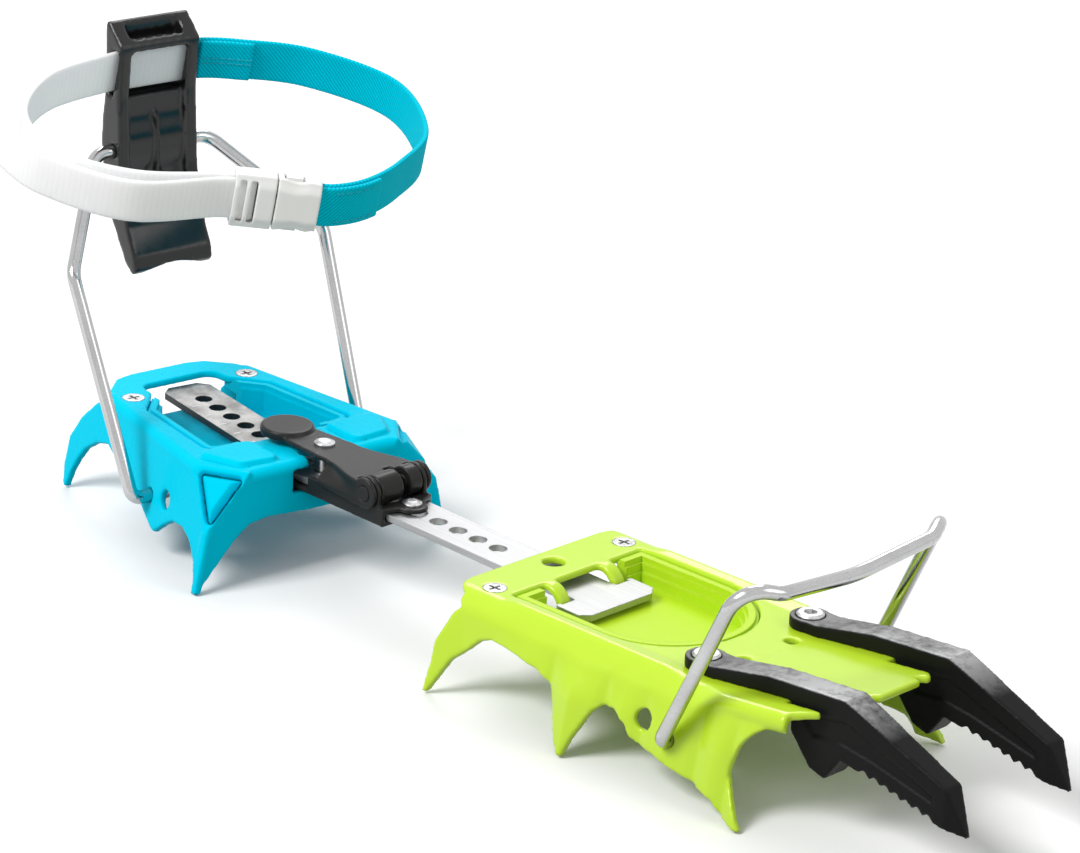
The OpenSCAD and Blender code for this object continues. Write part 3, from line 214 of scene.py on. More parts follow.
def weave_group():
    """Flat webbing on its own UV map, in millimetres: U along, V across. Ribs lean by the slant."""
    tree, g, inputs, outputs = new_group(
        "flat weave",
        [("Color", COLOR, None), ("Groove", COLOR, None), ("Rib", FLOAT, 1.4), ("Yarn", FLOAT, 0.8),
         ("Slant", FLOAT, 0.0)],
        [("Color", COLOR), ("Roughness", FLOAT), ("Height", FLOAT)])
    u, v = g.split(g.add("ShaderNodeUVMap").outputs[0])[:2]
    place = g.add("ShaderNodeTexCoord").outputs["Object"]
    sway = g.swing(g.noise(place, scale=160.0, detail=2.0), amount=0.5)
    lean = g.math("ADD", g.math("ADD", u, g.math("MULTIPLY", v, inputs["Slant"])), sway)
    wave = g.math("SINE", g.math("MULTIPLY", g.math("DIVIDE", lean, inputs["Rib"]), 2 * math.pi))
    rib = g.math("ADD", g.math("MULTIPLY", wave, 0.5), 0.5)
    twist = g.math("SINE", g.math("MULTIPLY", g.math("DIVIDE", v, inputs["Yarn"]), math.pi))
    strand = g.math("POWER", g.math("ABSOLUTE", twist), 0.6)
    yarn = g.math("ADD", g.math("MULTIPLY", strand, 0.5), 0.5)
    fuzz = g.noise(place, scale=3200.0, detail=2.0)
    relief = g.math("MULTIPLY", g.math("MULTIPLY", rib, yarn), 0.8)
    height = g.math("ADD", relief, g.math("MULTIPLY", fuzz, 0.2))
    slow = g.swing(g.noise(place, scale=45.0, detail=3.0), amount=0.3)
    shade = g.band(g.math("ADD", height, slow), low=0.0, high=0.62)
    g.feed(outputs["Color"], g.mix(shade, inputs["Groove"], inputs["Color"]))
    g.feed(outputs["Roughness"], g.math("ADD", 0.62, g.math("MULTIPLY", fuzz, 0.3)))
    g.feed(outputs["Height"], height)
    return tree


# Material makers

def group_of(name, maker):
    return bpy.data.node_groups.get(name) or maker()


def empty_graph(owner):
    """Graph without nodes for a material or a world."""
    owner.use_nodes = True
    owner.node_tree.nodes.clear()
    return Graph(owner.node_tree)


def blank_material(name):
    """A material with its graph and its shader; without them where it is made already."""
    material = bpy.data.materials.get(name)
    if material:
        return material, None, None
    material = bpy.data.materials.new(name)
    g = empty_graph(material)
    shader = g.add("ShaderNodeBsdfPrincipled")
    g.add("ShaderNodeOutputMaterial", {"Surface": shader.outputs[0]})
    return material, g, shader


def base_paint(material):
    """Graph and shader of a material, and what feeds its base colour."""
    g = Graph(material.node_tree)
    shader = next(node for node in g.tree.nodes if node.type == "BSDF_PRINCIPLED")
    return g, shader, shader.inputs["Base Color"].links[0].from_socket


def set_constants(node, values):
    for key, value in values.items():
        node.inputs[key].default_value = value


def place_group(g, tree, values):
    node = g.add("ShaderNodeGroup", node_tree=tree)
    set_constants(node, values)
    return node.outputs


def rgba(color):
    return (*color[:3], 1.0)


def coated(name, color, wear_color, wear, roughness, peel, peel_scale, coat=0.0, drift=0.06,
           round_edge=0.6 * MM, gloss=0.25, tint=(1, 1, 1)):
    """Paint or moulded plastic."""
    material, g, shader = blank_material(name)
    if g is None:
        return material
    skin = place_group(g, group_of("coated skin", coat_group), {
        "Color": rgba(color), "Wear Color": rgba(wear_color), "Wear": wear, "Roughness": roughness,
        "Peel": peel, "Peel Scale": peel_scale, "Drift": drift, "Round": round_edge})
    g.feed(shader.inputs["Base Color"], skin["Color"])
    g.feed(shader.inputs["Roughness"], skin["Roughness"])
    g.feed(shader.inputs["Normal"], skin["Normal"])
    set_constants(shader, {"Coat Weight": coat, "Coat Roughness": 0.12, "Specular IOR Level": gloss,
                           "Specular Tint": rgba(tint)})
    return material


def steel(name, color, dark, lines, roughness, depth=0.08):
    """Bare steel with drawn lines: their scale along each axis."""
    material, g, shader = blank_material(name)
    if g is None:
        return material
    skin = place_group(g, group_of("drawn steel", brushed_group), {
        "Color": rgba(color), "Dark": rgba(dark), "Lines": lines, "Roughness": roughness, "Depth": depth})
    g.feed(shader.inputs["Base Color"], skin["Color"])
    g.feed(shader.inputs["Roughness"], skin["Roughness"])
    g.feed(shader.inputs["Normal"], skin["Normal"])
    set_constants(shader, {"Metallic": 1.0})
    return material


def webbing(name, color, groove, rib, yarn, slant, relief, sheen=0.08, glow=0.0):
    """Woven webbing: spacing of ribs and yarns in millimetres; glow is light that passes through it."""
    material, g, shader = blank_material(name)
    if g is None:
        return material
    weave = place_group(g, group_of("flat weave", weave_group), {
        "Color": rgba(color), "Groove": rgba(groove), "Rib": rib, "Yarn": yarn, "Slant": slant})
    g.feed(shader.inputs["Base Color"], weave["Color"])
    g.feed(shader.inputs["Roughness"], weave["Roughness"])
    g.feed(shader.inputs["Normal"], g.bump(weave["Height"], relief, distance=0.3 * MM))
    set_constants(shader, {
        "Sheen Weight": sheen, "Sheen Roughness": 0.4, "Sheen Tint": rgba(color),
        "Subsurface Weight": glow, "Subsurface Radius": (1, 1, 1), "Subsurface Scale": 3 * MM,
        "Specular IOR Level": 0.12, "Specular Tint": rgba(color)})
    return material


# Stretch of the front points that is worn, along the scene's X: from nothing to most, and back
RUB_RISE = (50 * MM, 138 * MM)
RUB_FALL = (142 * MM, 156 * MM)


def forged(name, tops, sides):
    """Blackened steel whose upward faces are worn to grey metal on the arms."""
    material, g, shader = blank_material(name)
    if g is None:
        return material
    skin = place_group(g, group_of("coated skin", coat_group), {
        "Color": rgba(sides), "Wear Color": rgba(tops), "Wear": 0.7, "Roughness": 0.38, "Peel": 0.12,
        "Peel Scale": 1400.0, "Drift": 0.3})
    texture = g.add("ShaderNodeTexCoord").outputs
    place = texture["Object"]
    along_x, up = g.split(place)[0], g.split(texture["Normal"])[2]
    rub = g.noise(place, scale=420.0, detail=5.0, roughness=0.65)
    patch = g.noise(place, scale=75.0, detail=3.0)
    arm = g.math("MULTIPLY", g.band(along_x, *reversed(RUB_FALL)), g.band(along_x, *RUB_RISE))
    rubbed = g.band(g.math("ADD", rub, patch), low=0.5, high=1.05)
    worn = g.math("MULTIPLY", g.math("MULTIPLY", g.band(up, low=0.6, high=0.95), rubbed), arm)
    grey = g.mix(rub, rgba([0.7 * c for c in tops]), rgba(tops))
    g.feed(shader.inputs["Base Color"], g.mix(worn, skin["Color"], grey))
    g.feed(shader.inputs["Roughness"], skin["Roughness"])
    g.feed(shader.inputs["Normal"], skin["Normal"])
    g.feed(shader.inputs["Metallic"], g.math("MULTIPLY", worn, 0.5))
    set_constants(shader, {"Specular IOR Level": 0.08})
    return material


def dress(node, material):
    """Give a CAD node one material all over."""
    slots = bpy.data.objects[node].data.materials
    slots.clear()
    slots.append(material)


# Mesh helpers

# Faces that meet at less than this angle are shaded as one, in degrees
SKIN_ANGLE, CLOTH_ANGLE, TRIM_ANGLE = 60, 50, 40
# Most triangles of one skin
SKIN_BUDGET, FRAME_BUDGET = 90000, 190000


def deselect():
    for item in bpy.context.selected_objects:
        item.select_set(False)


def pick(piece):
    """Select one piece alone and make it the active one."""
    deselect()
    piece.select_set(True)
    bpy.context.view_layer.objects.active = piece


def start(name):
    """The primitive just added, named and with its place in its mesh."""
    piece = bpy.context.object
    piece.name = name
    piece.data.name = name
    bpy.ops.object.transform_apply(location=True, rotation=True, scale=True)
    return piece


def modify(piece, kind, **settings):
    """Add a modifier and apply it."""
    pick(piece)
    modifier = piece.modifiers.new(kind.lower(), kind)
    for key, value in settings.items():
        setattr(modifier, key, value)
    bpy.ops.object.modifier_apply(modifier=modifier.name)


def bevel_edges(width):
    """Round every edge of the active piece."""
    bpy.ops.object.mode_set(mode="EDIT")
    bpy.ops.mesh.select_all(action="SELECT")
    bpy.ops.mesh.bevel(offset=width, segments=2, affect="EDGES")
    bpy.ops.object.mode_set(mode="OBJECT")


def finish(piece, material, body, angle, even=False):
    """Shade a piece, give it its material and put it on its body; even shading suits flat sheet."""
    pick(piece)
    bpy.ops.object.shade_smooth_by_angle(angle=math.radians(angle))
    if even:
        modify(piece, "WEIGHTED_NORMAL", weight=50, keep_sharp=True)
    piece.data.materials.clear()
    piece.data.materials.append(material)
    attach(piece, body)
    return piece


def soften(node, voxel, rounds, shape=None, budget=SKIN_BUDGET):
    """Copy of a solid with rounded edges, as pressed or moulded, and with an optional press shape."""
    source = bpy.data.objects[node]
    piece = source.copy()
    piece.data = source.data.copy()
    piece.parent = None
    piece.matrix_world = Matrix.Identity(4)
    piece.name = node + "_skin"
    bpy.context.scene.collection.objects.link(piece)
    pick(piece)
    bpy.ops.object.mode_set(mode="EDIT")
    bpy.ops.mesh.select_all(action="SELECT")
    bpy.ops.mesh.remove_doubles(threshold=0.001 * MM)
    bpy.ops.object.mode_set(mode="OBJECT")
    modify(piece, "REMESH", mode="VOXEL", voxel_size=voxel * MM)
    modify(piece, "SMOOTH", factor=0.5, iterations=rounds)
    if shape:
        for vertex in piece.data.vertices:
            vertex.co = at(shape(vertex.co / MM + ORIGIN))
        modify(piece, "SMOOTH", factor=0.5, iterations=1)
    triangles = 2 * len(piece.data.polygons)
    if triangles > budget:
        modify(piece, "DECIMATE", ratio=budget / triangles)
    return piece


def repeat(first, places):
    """Copies of a first piece at several frames, joined as one; the first piece goes."""
    name = first.name
    copies = []
    for place in places:
        copy = first.copy()
        copy.data = first.data.copy()
        bpy.context.collection.objects.link(copy)
        copy.data.transform(scene_move(place))
        copies.append(copy)
    bpy.data.objects.remove(first)
    deselect()
    for copy in copies:
        copy.select_set(True)
    bpy.context.view_layer.objects.active = copies[0]
    bpy.ops.object.join()
    piece = bpy.context.object
    piece.name = name
    return piece


def spline(points, steps=8):
    """Smooth curve through flat points."""
    p = [Vector(q) for q in points]
    out = []
    for i in range(len(p) - 1):
        a, b, c, d = p[max(i - 1, 0)], p[i], p[i + 1], p[min(i + 2, len(p) - 1)]
        for j in range(steps):
            t = j / steps
            out.append(0.5 * (2 * b + (c - a) * t + (2 * a - 5 * b + 4 * c - d) * t * t
                              + (3 * b - a - 3 * c + d) * t ** 3))
    return out + [p[-1]]


def along(path, distance):
    """Point and direction at a distance along a path."""
    for a, b in zip(path, path[1:]):
        step = (b - a).length
        if distance <= step or b is path[-1]:
            return a + (b - a) * (distance / step), (b - a).normalized()
        distance -= step


def path_length(path):
    return sum((b - a).length for a, b in zip(path, path[1:]))


def right_of(way):
    """Flat direction to the right of another one."""
    return Vector((way.y, -way.x))


# Webbing: length of its cells, their count across it, its bevel as a share of its thickness
RIBBON_STEP, RIBBON_COLUMNS = 1.2, 10
RIBBON_BEVEL, RIBBON_CREASE = 0.3, math.radians(60)


def ribbon(name, path, width, thick):
    """Webbing along a flat path: a grid laid along it, thickened, with soft edges and UVs in millimetres."""
    length = path_length(path)
    rows = int(length / RIBBON_STEP)
    deselect()
    bpy.ops.mesh.primitive_grid_add(x_subdivisions=rows, y_subdivisions=RIBBON_COLUMNS, size=2,
                                    calc_uvs=True)
    piece = start(name)
    mesh = piece.data
    # The grid goes from -1 to 1 both ways
    flat = [((v.co.x + 1) / 2 * length, v.co.y) for v in mesh.vertices]
    for vertex, (distance, across) in zip(mesh.vertices, flat):
        spot = along(path, distance)[0]
        vertex.co = at(STRAP @ Vector((spot.x, spot.y, across * width / 2)))
    layer = mesh.uv_layers[0].data
    for loop in mesh.loops:
        distance, across = flat[loop.vertex_index]
        layer[loop.index].uv = (distance, (across + 1) / 2 * width)
    modify(piece, "SOLIDIFY", thickness=thick * MM, offset=0.0, use_even_offset=True)
    modify(piece, "BEVEL", width=RIBBON_BEVEL * thick * MM, segments=2, limit_method="ANGLE",
           angle_limit=RIBBON_CREASE)
    return piece


# Sizes and colours that a user would change

def colour_prop(name, text, default):
    return bpy.props.FloatVectorProperty(name=name, description=text, subtype="COLOR", size=3, min=0, max=1,
                                         default=default)


def length_prop(name, text, default):
    return bpy.props.FloatProperty(name=name, description=text, unit="LENGTH", default=default, precision=5)


class CramponColours(bpy.types.PropertyGroup):
    teal: colour_prop("Teal paint", "Paint of the heel frame", (0.0, 0.60, 0.82))
    teal_tray: colour_prop("Teal plastic", "Anti-snow tray of the heel", (0.0, 0.58, 0.79))
    lime: colour_prop("Lime plastic", "Anti-snow tray of the front", (0.47, 0.70, 0.02))
    lime_frame: colour_prop("Lime paint", "Paint of the front frame", (0.50, 0.74, 0.025))
    black: colour_prop("Blackened steel", "Front points", (0.008, 0.008, 0.008))
    white: colour_prop("White webbing", "Long strap", (0.97, 0.97, 0.965))
    blue: colour_prop("Blue webbing", "Short strap", (0.0, 0.60, 0.76))


class CramponSizes(bpy.types.PropertyGroup):
    strap_width: length_prop("Strap width", "Width of both webbings", 13 * MM)
    strap_thick: length_prop("Strap thickness", "Thickness of both webbings", 1.5 * MM)
    stitch: length_prop("Stitch length", "Length of one visible stitch", 2.1 * MM)
    thread: length_prop("Thread", "Diameter of the sewing thread", 0.45 * MM)


def colours():
    return bpy.context.scene.crampon_colours


def sizes():
    return bpy.context.scene.crampon_sizes


# Strap paths in the strap's plane, millimetres

BUCKLE_TURN = 60.3
BUCKLE_AT = Vector((71, -20))
BUCKLE_LENGTH = 25
BUCKLE_WAY = Vector((math.cos(math.radians(BUCKLE_TURN)), math.sin(math.radians(BUCKLE_TURN))))
BUCKLE_OUT = right_of(BUCKLE_WAY)
BUCKLE_END = BUCKLE_AT + BUCKLE_WAY * BUCKLE_LENGTH
# The white webbing goes into the buckle straight, turns round its bar and comes back outside
WHITE_IN = BUCKLE_AT - BUCKLE_WAY * 4
WHITE_TURN = BUCKLE_AT + BUCKLE_WAY * 5


def white_path():
    return spline([(-2.4, 13.6), (-2.4, 5), (-2.4, -8), (-2.4, -15), (3, -40), (20, -59), (42, -62),
                   (60, -47), WHITE_IN, WHITE_TURN])


def white_tail_path():
    behind = WHITE_TURN + BUCKLE_WAY * 0.75
    return spline([WHITE_TURN, behind + BUCKLE_OUT * 0.5, behind + BUCKLE_OUT * 1.9,
                   WHITE_TURN + BUCKLE_OUT * 2.4, WHITE_IN + BUCKLE_OUT * 2.7, (65, -51), (44, -67),
                   (27, -69.5)])


def blue_path():
    return spline([(-2.4, 14.4), (-2.6, 18), (1.4, 28), (13, 47), (38, 61), (66, 52), (79.5, 33), (85.4, 17),
                   BUCKLE_END + BUCKLE_WAY * 4, BUCKLE_END - BUCKLE_WAY * 3])


# Steps of a path that follows another one, and a stitch's sides and bevel as a share of the thread
FOLD_STEP = 0.8
STITCH_SIDES, STITCH_BEVEL = 8, 0.22


def offset_path(path, low, high, gap):
    """Piece of a path between two distances, moved to its right by the gap."""
    steps = int((high - low) / FOLD_STEP)
    out = []
    for i in range(steps + 1):
        spot, way = along(path, low + (high - low) * i / steps)
        out.append(spot + right_of(way) * gap)
    return out


def stitches(name, path, spots, gap):
    """Thread on webbing: one stitch, copied to (distance, height) spots at a gap to the path's right."""
    deselect()
    thread = sizes().thread
    bpy.ops.mesh.primitive_cylinder_add(vertices=STITCH_SIDES, radius=thread / 2, depth=sizes().stitch)
    bevel_edges(STITCH_BEVEL * thread)
    first = start(name)
    places = []
    for distance, height in spots:
        spot, way = along(path, distance)
        out = right_of(way) * math.copysign(1.0, gap)
        where = spot + out * abs(gap)
        # Columns: along the path, across the webbing, out of its face
        turn = Matrix(((way.x, 0, out.x, where.x), (way.y, 0, out.y, where.y),
                       (0, 1, 0, height), (0, 0, 0, 1)))
        places.append(STRAP @ turn @ turned(90, "Y"))
    return repeat(first, places)


# Press shapes, in the crampon's millimetres

def ramp(value, low, high):
    return min(max((value - low) / (high - low), 0.0), 1.0)


def ease(value, low, high):
    """0 at low, 1 at high, and a soft step between them."""
    t = ramp(value, low, high)
    return t * t * (3 - 2 * t)


def ridge(value, middle, half):
    """1 in the middle, 0 at half the width."""
    return max(0.0, 1 - abs(value - middle) / half)


def hump(share):
    """Half circle over shares from -1 to 1."""
    return math.sqrt(max(0.0, 1 - share * share))


def round_fold(drop, inset, radius):
    """Pull an outer edge back to a fold of this radius: drop is below the deck, inset is inside the wall."""
    if drop < radius and inset < radius:
        reach = math.hypot(radius - drop, radius - inset)
        if reach > radius:
            drop = radius - (radius - drop) * radius / reach
            inset = radius - (radius - inset) * radius / reach
    return drop, inset


def line_distance(x, y, corners):
    """Distance from a flat point to a closed outline."""
    nearest = math.inf
    for (ax, ay), (bx, by) in zip(corners, corners[1:] + corners[:1]):
        dx, dy = bx - ax, by - ay
        t = min(max(((x - ax) * dx + (y - ay) * dy) / (dx * dx + dy * dy), 0.0), 1.0)
        nearest = min(nearest, math.hypot(x - ax - t * dx, y - ay - t * dy))
    return nearest


def within(x, y, corners):
    """Whether a flat point lies inside a closed outline."""
    inside = False
    for (ax, ay), (bx, by) in zip(corners, corners[1:] + corners[:1]):
        if (ay > y) != (by > y) and x < ax + (y - ay) * (bx - ax) / (by - ay):
            inside = not inside
    return inside


# Front frame: its deck, which rises to the toe, and its splayed walls
FRONT_DECK = 30
TOE_FROM, TOE_SLOPE = 85, math.tan(math.radians(6))
FRONT_HALF, FRONT_SPLAY = 34.6, math.tan(math.radians(12))
# Fold from deck to wall: its radius grows behind this x
FOLD_FRONT, FOLD_RUN = 98, 12
FOLD_SMALL, FOLD_MORE = 1.5, 4.5
# Ribs and hollows of the walls: middle along x, half width, depth outwards
WALL_RIBS = [(49, 12, 3.8), (30, 14, -1.8), (66, 10, -2.2), (82, 14, 2.0), (110, 9, 2.2), (99, 9, -1.6),
             (-4, 9, 1.6)]
RIB_DROP, RIB_SIDE = (1.5, 15), (24, 31)
# Crowned rails beside the tray
RAIL_SIDE, RAIL_HALF, RAIL_CROWN = 29.6, 5, 0.9
RAIL_REAR, RAIL_FRONT, RAIL_HEIGHT = (12, 20), (70, 82), (26, 28)


def press_front(p):
    """Ribs and hollows down the walls, a rounded fold and crowned rails."""
    x, y, z = p
    top = FRONT_DECK + max(x - TOE_FROM, 0) * TOE_SLOPE
    push = sum(depth * ridge(x, middle, half) for middle, half, depth in WALL_RIBS)
    push *= ease(top - z, *RIB_DROP)
    if x < FOLD_FRONT:
        wall = FRONT_HALF + max(top - z, 0) * FRONT_SPLAY
        radius = FOLD_SMALL + FOLD_MORE * ease(FOLD_FRONT - x, 0, FOLD_RUN)
        drop, inset = round_fold(top - z, wall - abs(y), radius)
        y, z = math.copysign(wall - inset, y), top - drop
    side = abs(y)
    rail = ease(x, *RAIL_REAR) * (1 - ease(x, *RAIL_FRONT)) * ridge(side, RAIL_SIDE, RAIL_HALF)
    crown = RAIL_CROWN * rail * ease(z, *RAIL_HEIGHT)
    return (x, y + math.copysign(push * ease(side, *RIB_SIDE), y), z + crown)


# Front points: distance from the middle, and the panel sunk into their sides, as x and z
POINT_SIDE = 20.9
POINT_PANEL = [(115, 30.6), (131, 33.4), (159.5, 22.6), (160.8, 19.4), (139, 24.6), (129, 26.2), (120, 25.2)]
PANEL_DEPTH, PANEL_EDGE = 0.75, 0.9


def press_point(p):
    """Sunk panel on both sides of a front point, under its top edge."""
    x, y, z = p
    if not within(x, z, POINT_PANEL):
        return p
    middle = math.copysign(POINT_SIDE, y)
    deep = PANEL_DEPTH * ease(line_distance(x, z, POINT_PANEL), 0.0, PANEL_EDGE)
    side = y - middle
    return (x, middle + math.copysign(max(abs(side) - deep, 0.0), side), z)


# Slanted front corner of the heel: its own plane, whose normal points out of the sheet
CORNER = [Vector((-3, -35.93, 33.19)), Vector((10.5, -27, 33.19)), Vector((10.5, -41.57, 18))]
CORNER_U = (CORNER[1] - CORNER[0]).normalized()
CORNER_V = (CORNER[2] - CORNER[0]) - CORNER_U * CORNER_U.dot(CORNER[2] - CORNER[0])
CORNER_V.normalize()
CORNER_N = CORNER_V.cross(CORNER_U)


def corner_outline(scale):
    """The corner's triangle in its own plane, scaled about its middle."""
    flat = [((q - CORNER[0]).dot(CORNER_U), (q - CORNER[0]).dot(CORNER_V)) for q in CORNER]
    middle_u, middle_v = (sum(values) / len(flat) for values in zip(*flat))
    return [(middle_u + (u - middle_u) * scale, middle_v + (v - middle_v) * scale) for u, v in flat]


# What is pressed, the raised triangle inside it, and how far from the plane the outer skin lies
CORNER_EDGE, CORNER_RING = corner_outline(0.97), corner_outline(0.64)
CORNER_SKIN = (-0.7, 1.8)
CORNER_REST = 0.1
RAISED, RAISED_EDGE = 0.8, 1.0
GROOVE_DEPTH, GROOVE_HALF = 2.0, 0.9
HEEL_IN = HEEL.inverted()


def press_heel(p):
    """Groove round a raised triangle on each slanted front corner."""
    q = HEEL_IN @ Vector(p)
    r = Vector((q.x, -abs(q.y), q.z)) - CORNER[0]
    u, v, lift = r.dot(CORNER_U), r.dot(CORNER_V), r.dot(CORNER_N)
    if not CORNER_SKIN[0] < lift < CORNER_SKIN[1] or not within(u, v, CORNER_EDGE):
        return p
    ring = line_distance(u, v, CORNER_RING)
    if within(u, v, CORNER_RING):
        goal = CORNER_REST + RAISED * ease(ring, 0.0, RAISED_EDGE)
    else:
        goal = CORNER_REST - GROOVE_DEPTH * ridge(ring, GROOVE_HALF, GROOVE_HALF)
    new = CORNER[0] + CORNER_U * u + CORNER_V * v + CORNER_N * goal
    return HEEL @ Vector((new.x, new.y if q.y < 0 else -new.y, new.z))


# Heel lever, in its own frame: height and depth of its front face, before the flutes
LEVER_FRONT = [(-36, 13.1), (-34, 13.1), (-30, 12.4), (-22, 8.5), (-14, 5.7), (-6, 4.5), (2, 4.1), (8, 3.7),
               (17, 3.3), (30, 4.4), (33, 4.6), (60, 4.6)]
# The flutes lie in front of the bore, between the tail and the window
FLUTE_BACK, FLUTE_LOW, FLUTE_HIGH = 0.9, -24, 17.4
FLUTE_SIDE, FLUTE_HALF, FLUTE_DEPTH = 5.3, 4.9, 3.9
FLUTE_RUN_OUT = (-22, -9)
# Under the window the two flutes merge into one bed
BED_HALF, BED_SHARE, BED_HEIGHT = 10.2, 0.9, (8.5, 12.5)
# Least depth that stays in front of the bore, and how it falls off above and below it
BORE_COVER, BORE_FALL, BORE_HEIGHT = 2.6, 1.6, (1.5, 11.0)
LEVER_IN = LEVER.inverted()


def lever_front(z):
    for (za, xa), (zb, xb) in zip(LEVER_FRONT, LEVER_FRONT[1:]):
        if z <= zb:
            return xa + (xb - xa) * (z - za) / (zb - za)
    return xb


def press_lever(p):
    """Two deep flutes with a rib between them, under the window, that run out into the tail."""
    q = LEVER_IN @ Vector(p)
    if q.x < FLUTE_BACK or not FLUTE_LOW <= q.z <= FLUTE_HIGH:
        return p
    flute = hump((abs(q.y) - FLUTE_SIDE) / FLUTE_HALF)
    bed = max(flute, BED_SHARE * hump(q.y / BED_HALF))
    merge = ease(q.z, *BED_HEIGHT)
    deep = FLUTE_DEPTH * (flute * (1 - merge) + bed * merge) * ease(q.z, *FLUTE_RUN_OUT)
    cover = BORE_COVER - BORE_FALL * ease(abs(q.z), *BORE_HEIGHT)
    x = min(q.x, max(lever_front(q.z) - deep, cover))
    return LEVER @ Vector((x, q.y, q.z))


# Adjuster's arm in the bar's frame: its stretch, its half widths as built and as drawn in, and its height
ARM_REAR, ARM_FRONT = -88, -62
ARM_BUILT, ARM_BUILT_MORE = 7.0, ((-87, -82, 3.8), (-82, -79, 0.8))
ARM_SLIM, ARM_SLIM_MORE, ARM_SLIM_RUN = 7.2, 4.4, (-84, -64)
ARM_HEIGHT = (2.5, 7.0)
BAR_IN = BAR.inverted()


def press_arm(p):
    """Arm of the adjuster drawn in between its rivet and its side flanges."""
    q = BAR_IN @ Vector(p)
    if not ARM_REAR < q.x < ARM_FRONT:
        return p
    built = ARM_BUILT + sum(more * ramp(q.x, low, high) for low, high, more in ARM_BUILT_MORE)
    drawn = ARM_SLIM + ARM_SLIM_MORE * ease(q.x, *ARM_SLIM_RUN)
    slim = ease(q.z, *ARM_HEIGHT) * (1 - min(drawn / built, 1.0))
    return BAR @ Vector((q.x, q.y * (1 - slim), q.z))


# Buckle frame: X from the white webbing to the blue, Y out, Z across the webbing
BUCKLE_SINK = 1.1
BUCKLE = (STRAP @ Matrix.Translation((*BUCKLE_AT, 0)) @ turned(BUCKLE_TURN, "Z")
          @ Matrix.Translation((0, -BUCKLE_SINK, 0)))
BUCKLE_IN = BUCKLE.inverted()
# Shares that the waist, the end and the crown take off the buckle, and where they lie
WAIST, WAIST_AT, WAIST_RUN = 0.13, 18.2, 3.4
TAPER, TAPER_RUN = 0.1, (21, 25)
CROWN, CROWN_RUN = 0.3, (4.5, 8.6)


def press_buckle(p):
    """Waisted, crowned moulding with a rounded end."""
    q = BUCKLE_IN @ Vector(p)
    width = 1 - WAIST * math.exp(-((q.x - WAIST_AT) / WAIST_RUN) ** 2) - TAPER * ease(q.x, *TAPER_RUN)
    height = 1 - CROWN * ease(abs(q.z), *CROWN_RUN)
    return BUCKLE @ Vector((q.x, q.y * height, q.z * width))


# Finishes

def lime_paint():
    return coated("lime powder coat", colours().lime_frame, wear_color=(0.62, 0.66, 0.5), wear=0.25,
                  roughness=0.2, peel=0.05, peel_scale=1500, gloss=0.55, tint=(1, 1, 0.75))


def lime_plastic():
    return coated("lime moulded plastic", colours().lime, wear_color=(0.66, 0.82, 0.2), wear=0.3,
                  roughness=0.36, peel=0.1, peel_scale=2600, gloss=0.2, tint=(0.8, 1, 0.2))


def teal_paint():
    """Powder coat with painted shade: darker where the sheet is concave, as in its pressed grooves."""
    material = coated("teal powder coat", colours().teal, wear_color=(0.0, 0.62, 0.8), wear=0.25,
                      roughness=0.28, peel=0.06, peel_scale=1500, gloss=0.02, tint=(0, 0.75, 1))
    g, shader, paint = base_paint(material)
    # Painted shade: concave creases get a dark teal, standing in for the shade that falls in them
    groove = g.band(g.add("ShaderNodeNewGeometry").outputs["Pointiness"], low=0.485, high=0.44)
    g.feed(shader.inputs["Base Color"], g.mix(groove, paint, rgba((0.0, 0.16, 0.22))))
    return material


def teal_plastic():
    return coated("teal moulded plastic", colours().teal_tray, wear_color=(0.0, 0.66, 0.8), wear=0.3,
                  roughness=0.36, peel=0.1, peel_scale=2600, gloss=0.02, tint=(0, 0.75, 1))


def screw_steel():
    return steel("screw steel", (0.72, 0.72, 0.72), dark=(0.42, 0.42, 0.43), lines=(900, 900, 300),
                 roughness=0.28)


def wire_steel():
    return steel("drawn wire", (0.56, 0.56, 0.565), dark=(0.42, 0.42, 0.425), lines=(3000, 3000, 3000),
                 roughness=0.14, depth=0.02)


# Scene's X where the bar's colour changes to its darker rear run, at the front of the heel
BAR_BRIGHT_TO, BAR_DULL_FROM = -75 * MM, -85 * MM


def bar_steel():
    """Bright front run and darker rear run behind the heel's front, with painted shade, near black, on the
    rear run's side faces.
    """
    material = steel("bar steel", (0.46, 0.46, 0.465), dark=(0.35, 0.35, 0.355), lines=(25, 2400, 600),
                     roughness=0.46)
    g, shader, bright = base_paint(material)
    texture = g.add("ShaderNodeTexCoord").outputs
    rear = g.band(g.split(texture["Object"])[0], low=BAR_BRIGHT_TO, high=BAR_DULL_FROM)
    # Painted shade: side faces of the rear run turn near black and lose their metal, standing in for the
    # shade of the tray's slot
    edge = g.band(g.math("ABSOLUTE", g.split(texture["Normal"])[2]), low=0.7, high=0.4)
    smear = g.band(g.noise(texture["Object"], scale=140.0, detail=4.0, roughness=0.6), low=0.35, high=0.65)
    dull = g.mix(smear, rgba((0.16, 0.155, 0.15)), rgba((0.36, 0.355, 0.35)))
    # Near-black colour of the painted shade on the rear run's side faces
    run = g.mix(edge, dull, rgba((0.012, 0.012, 0.012)))
    g.feed(shader.inputs["Base Color"], g.mix(rear, bright, run))
    g.feed(shader.inputs["Metallic"], g.math("SUBTRACT", 1.0, g.math("MULTIPLY", rear, edge)))
    return material


def bar_print():
    """Pale print of the bar's ticks."""
    return coated("bar print", (0.8, 0.8, 0.8), wear_color=(0.5, 0.5, 0.5), wear=0.1,
                  roughness=0.6, peel=0.02, peel_scale=2600, round_edge=0.01 * MM)


def black_paint():
    return coated("black satin paint", (0.016, 0.0155, 0.015), wear_color=(0.2, 0.2, 0.2), wear=0.4,
                  roughness=0.3, peel=0.1, peel_scale=1500, drift=0.3, gloss=0.2)


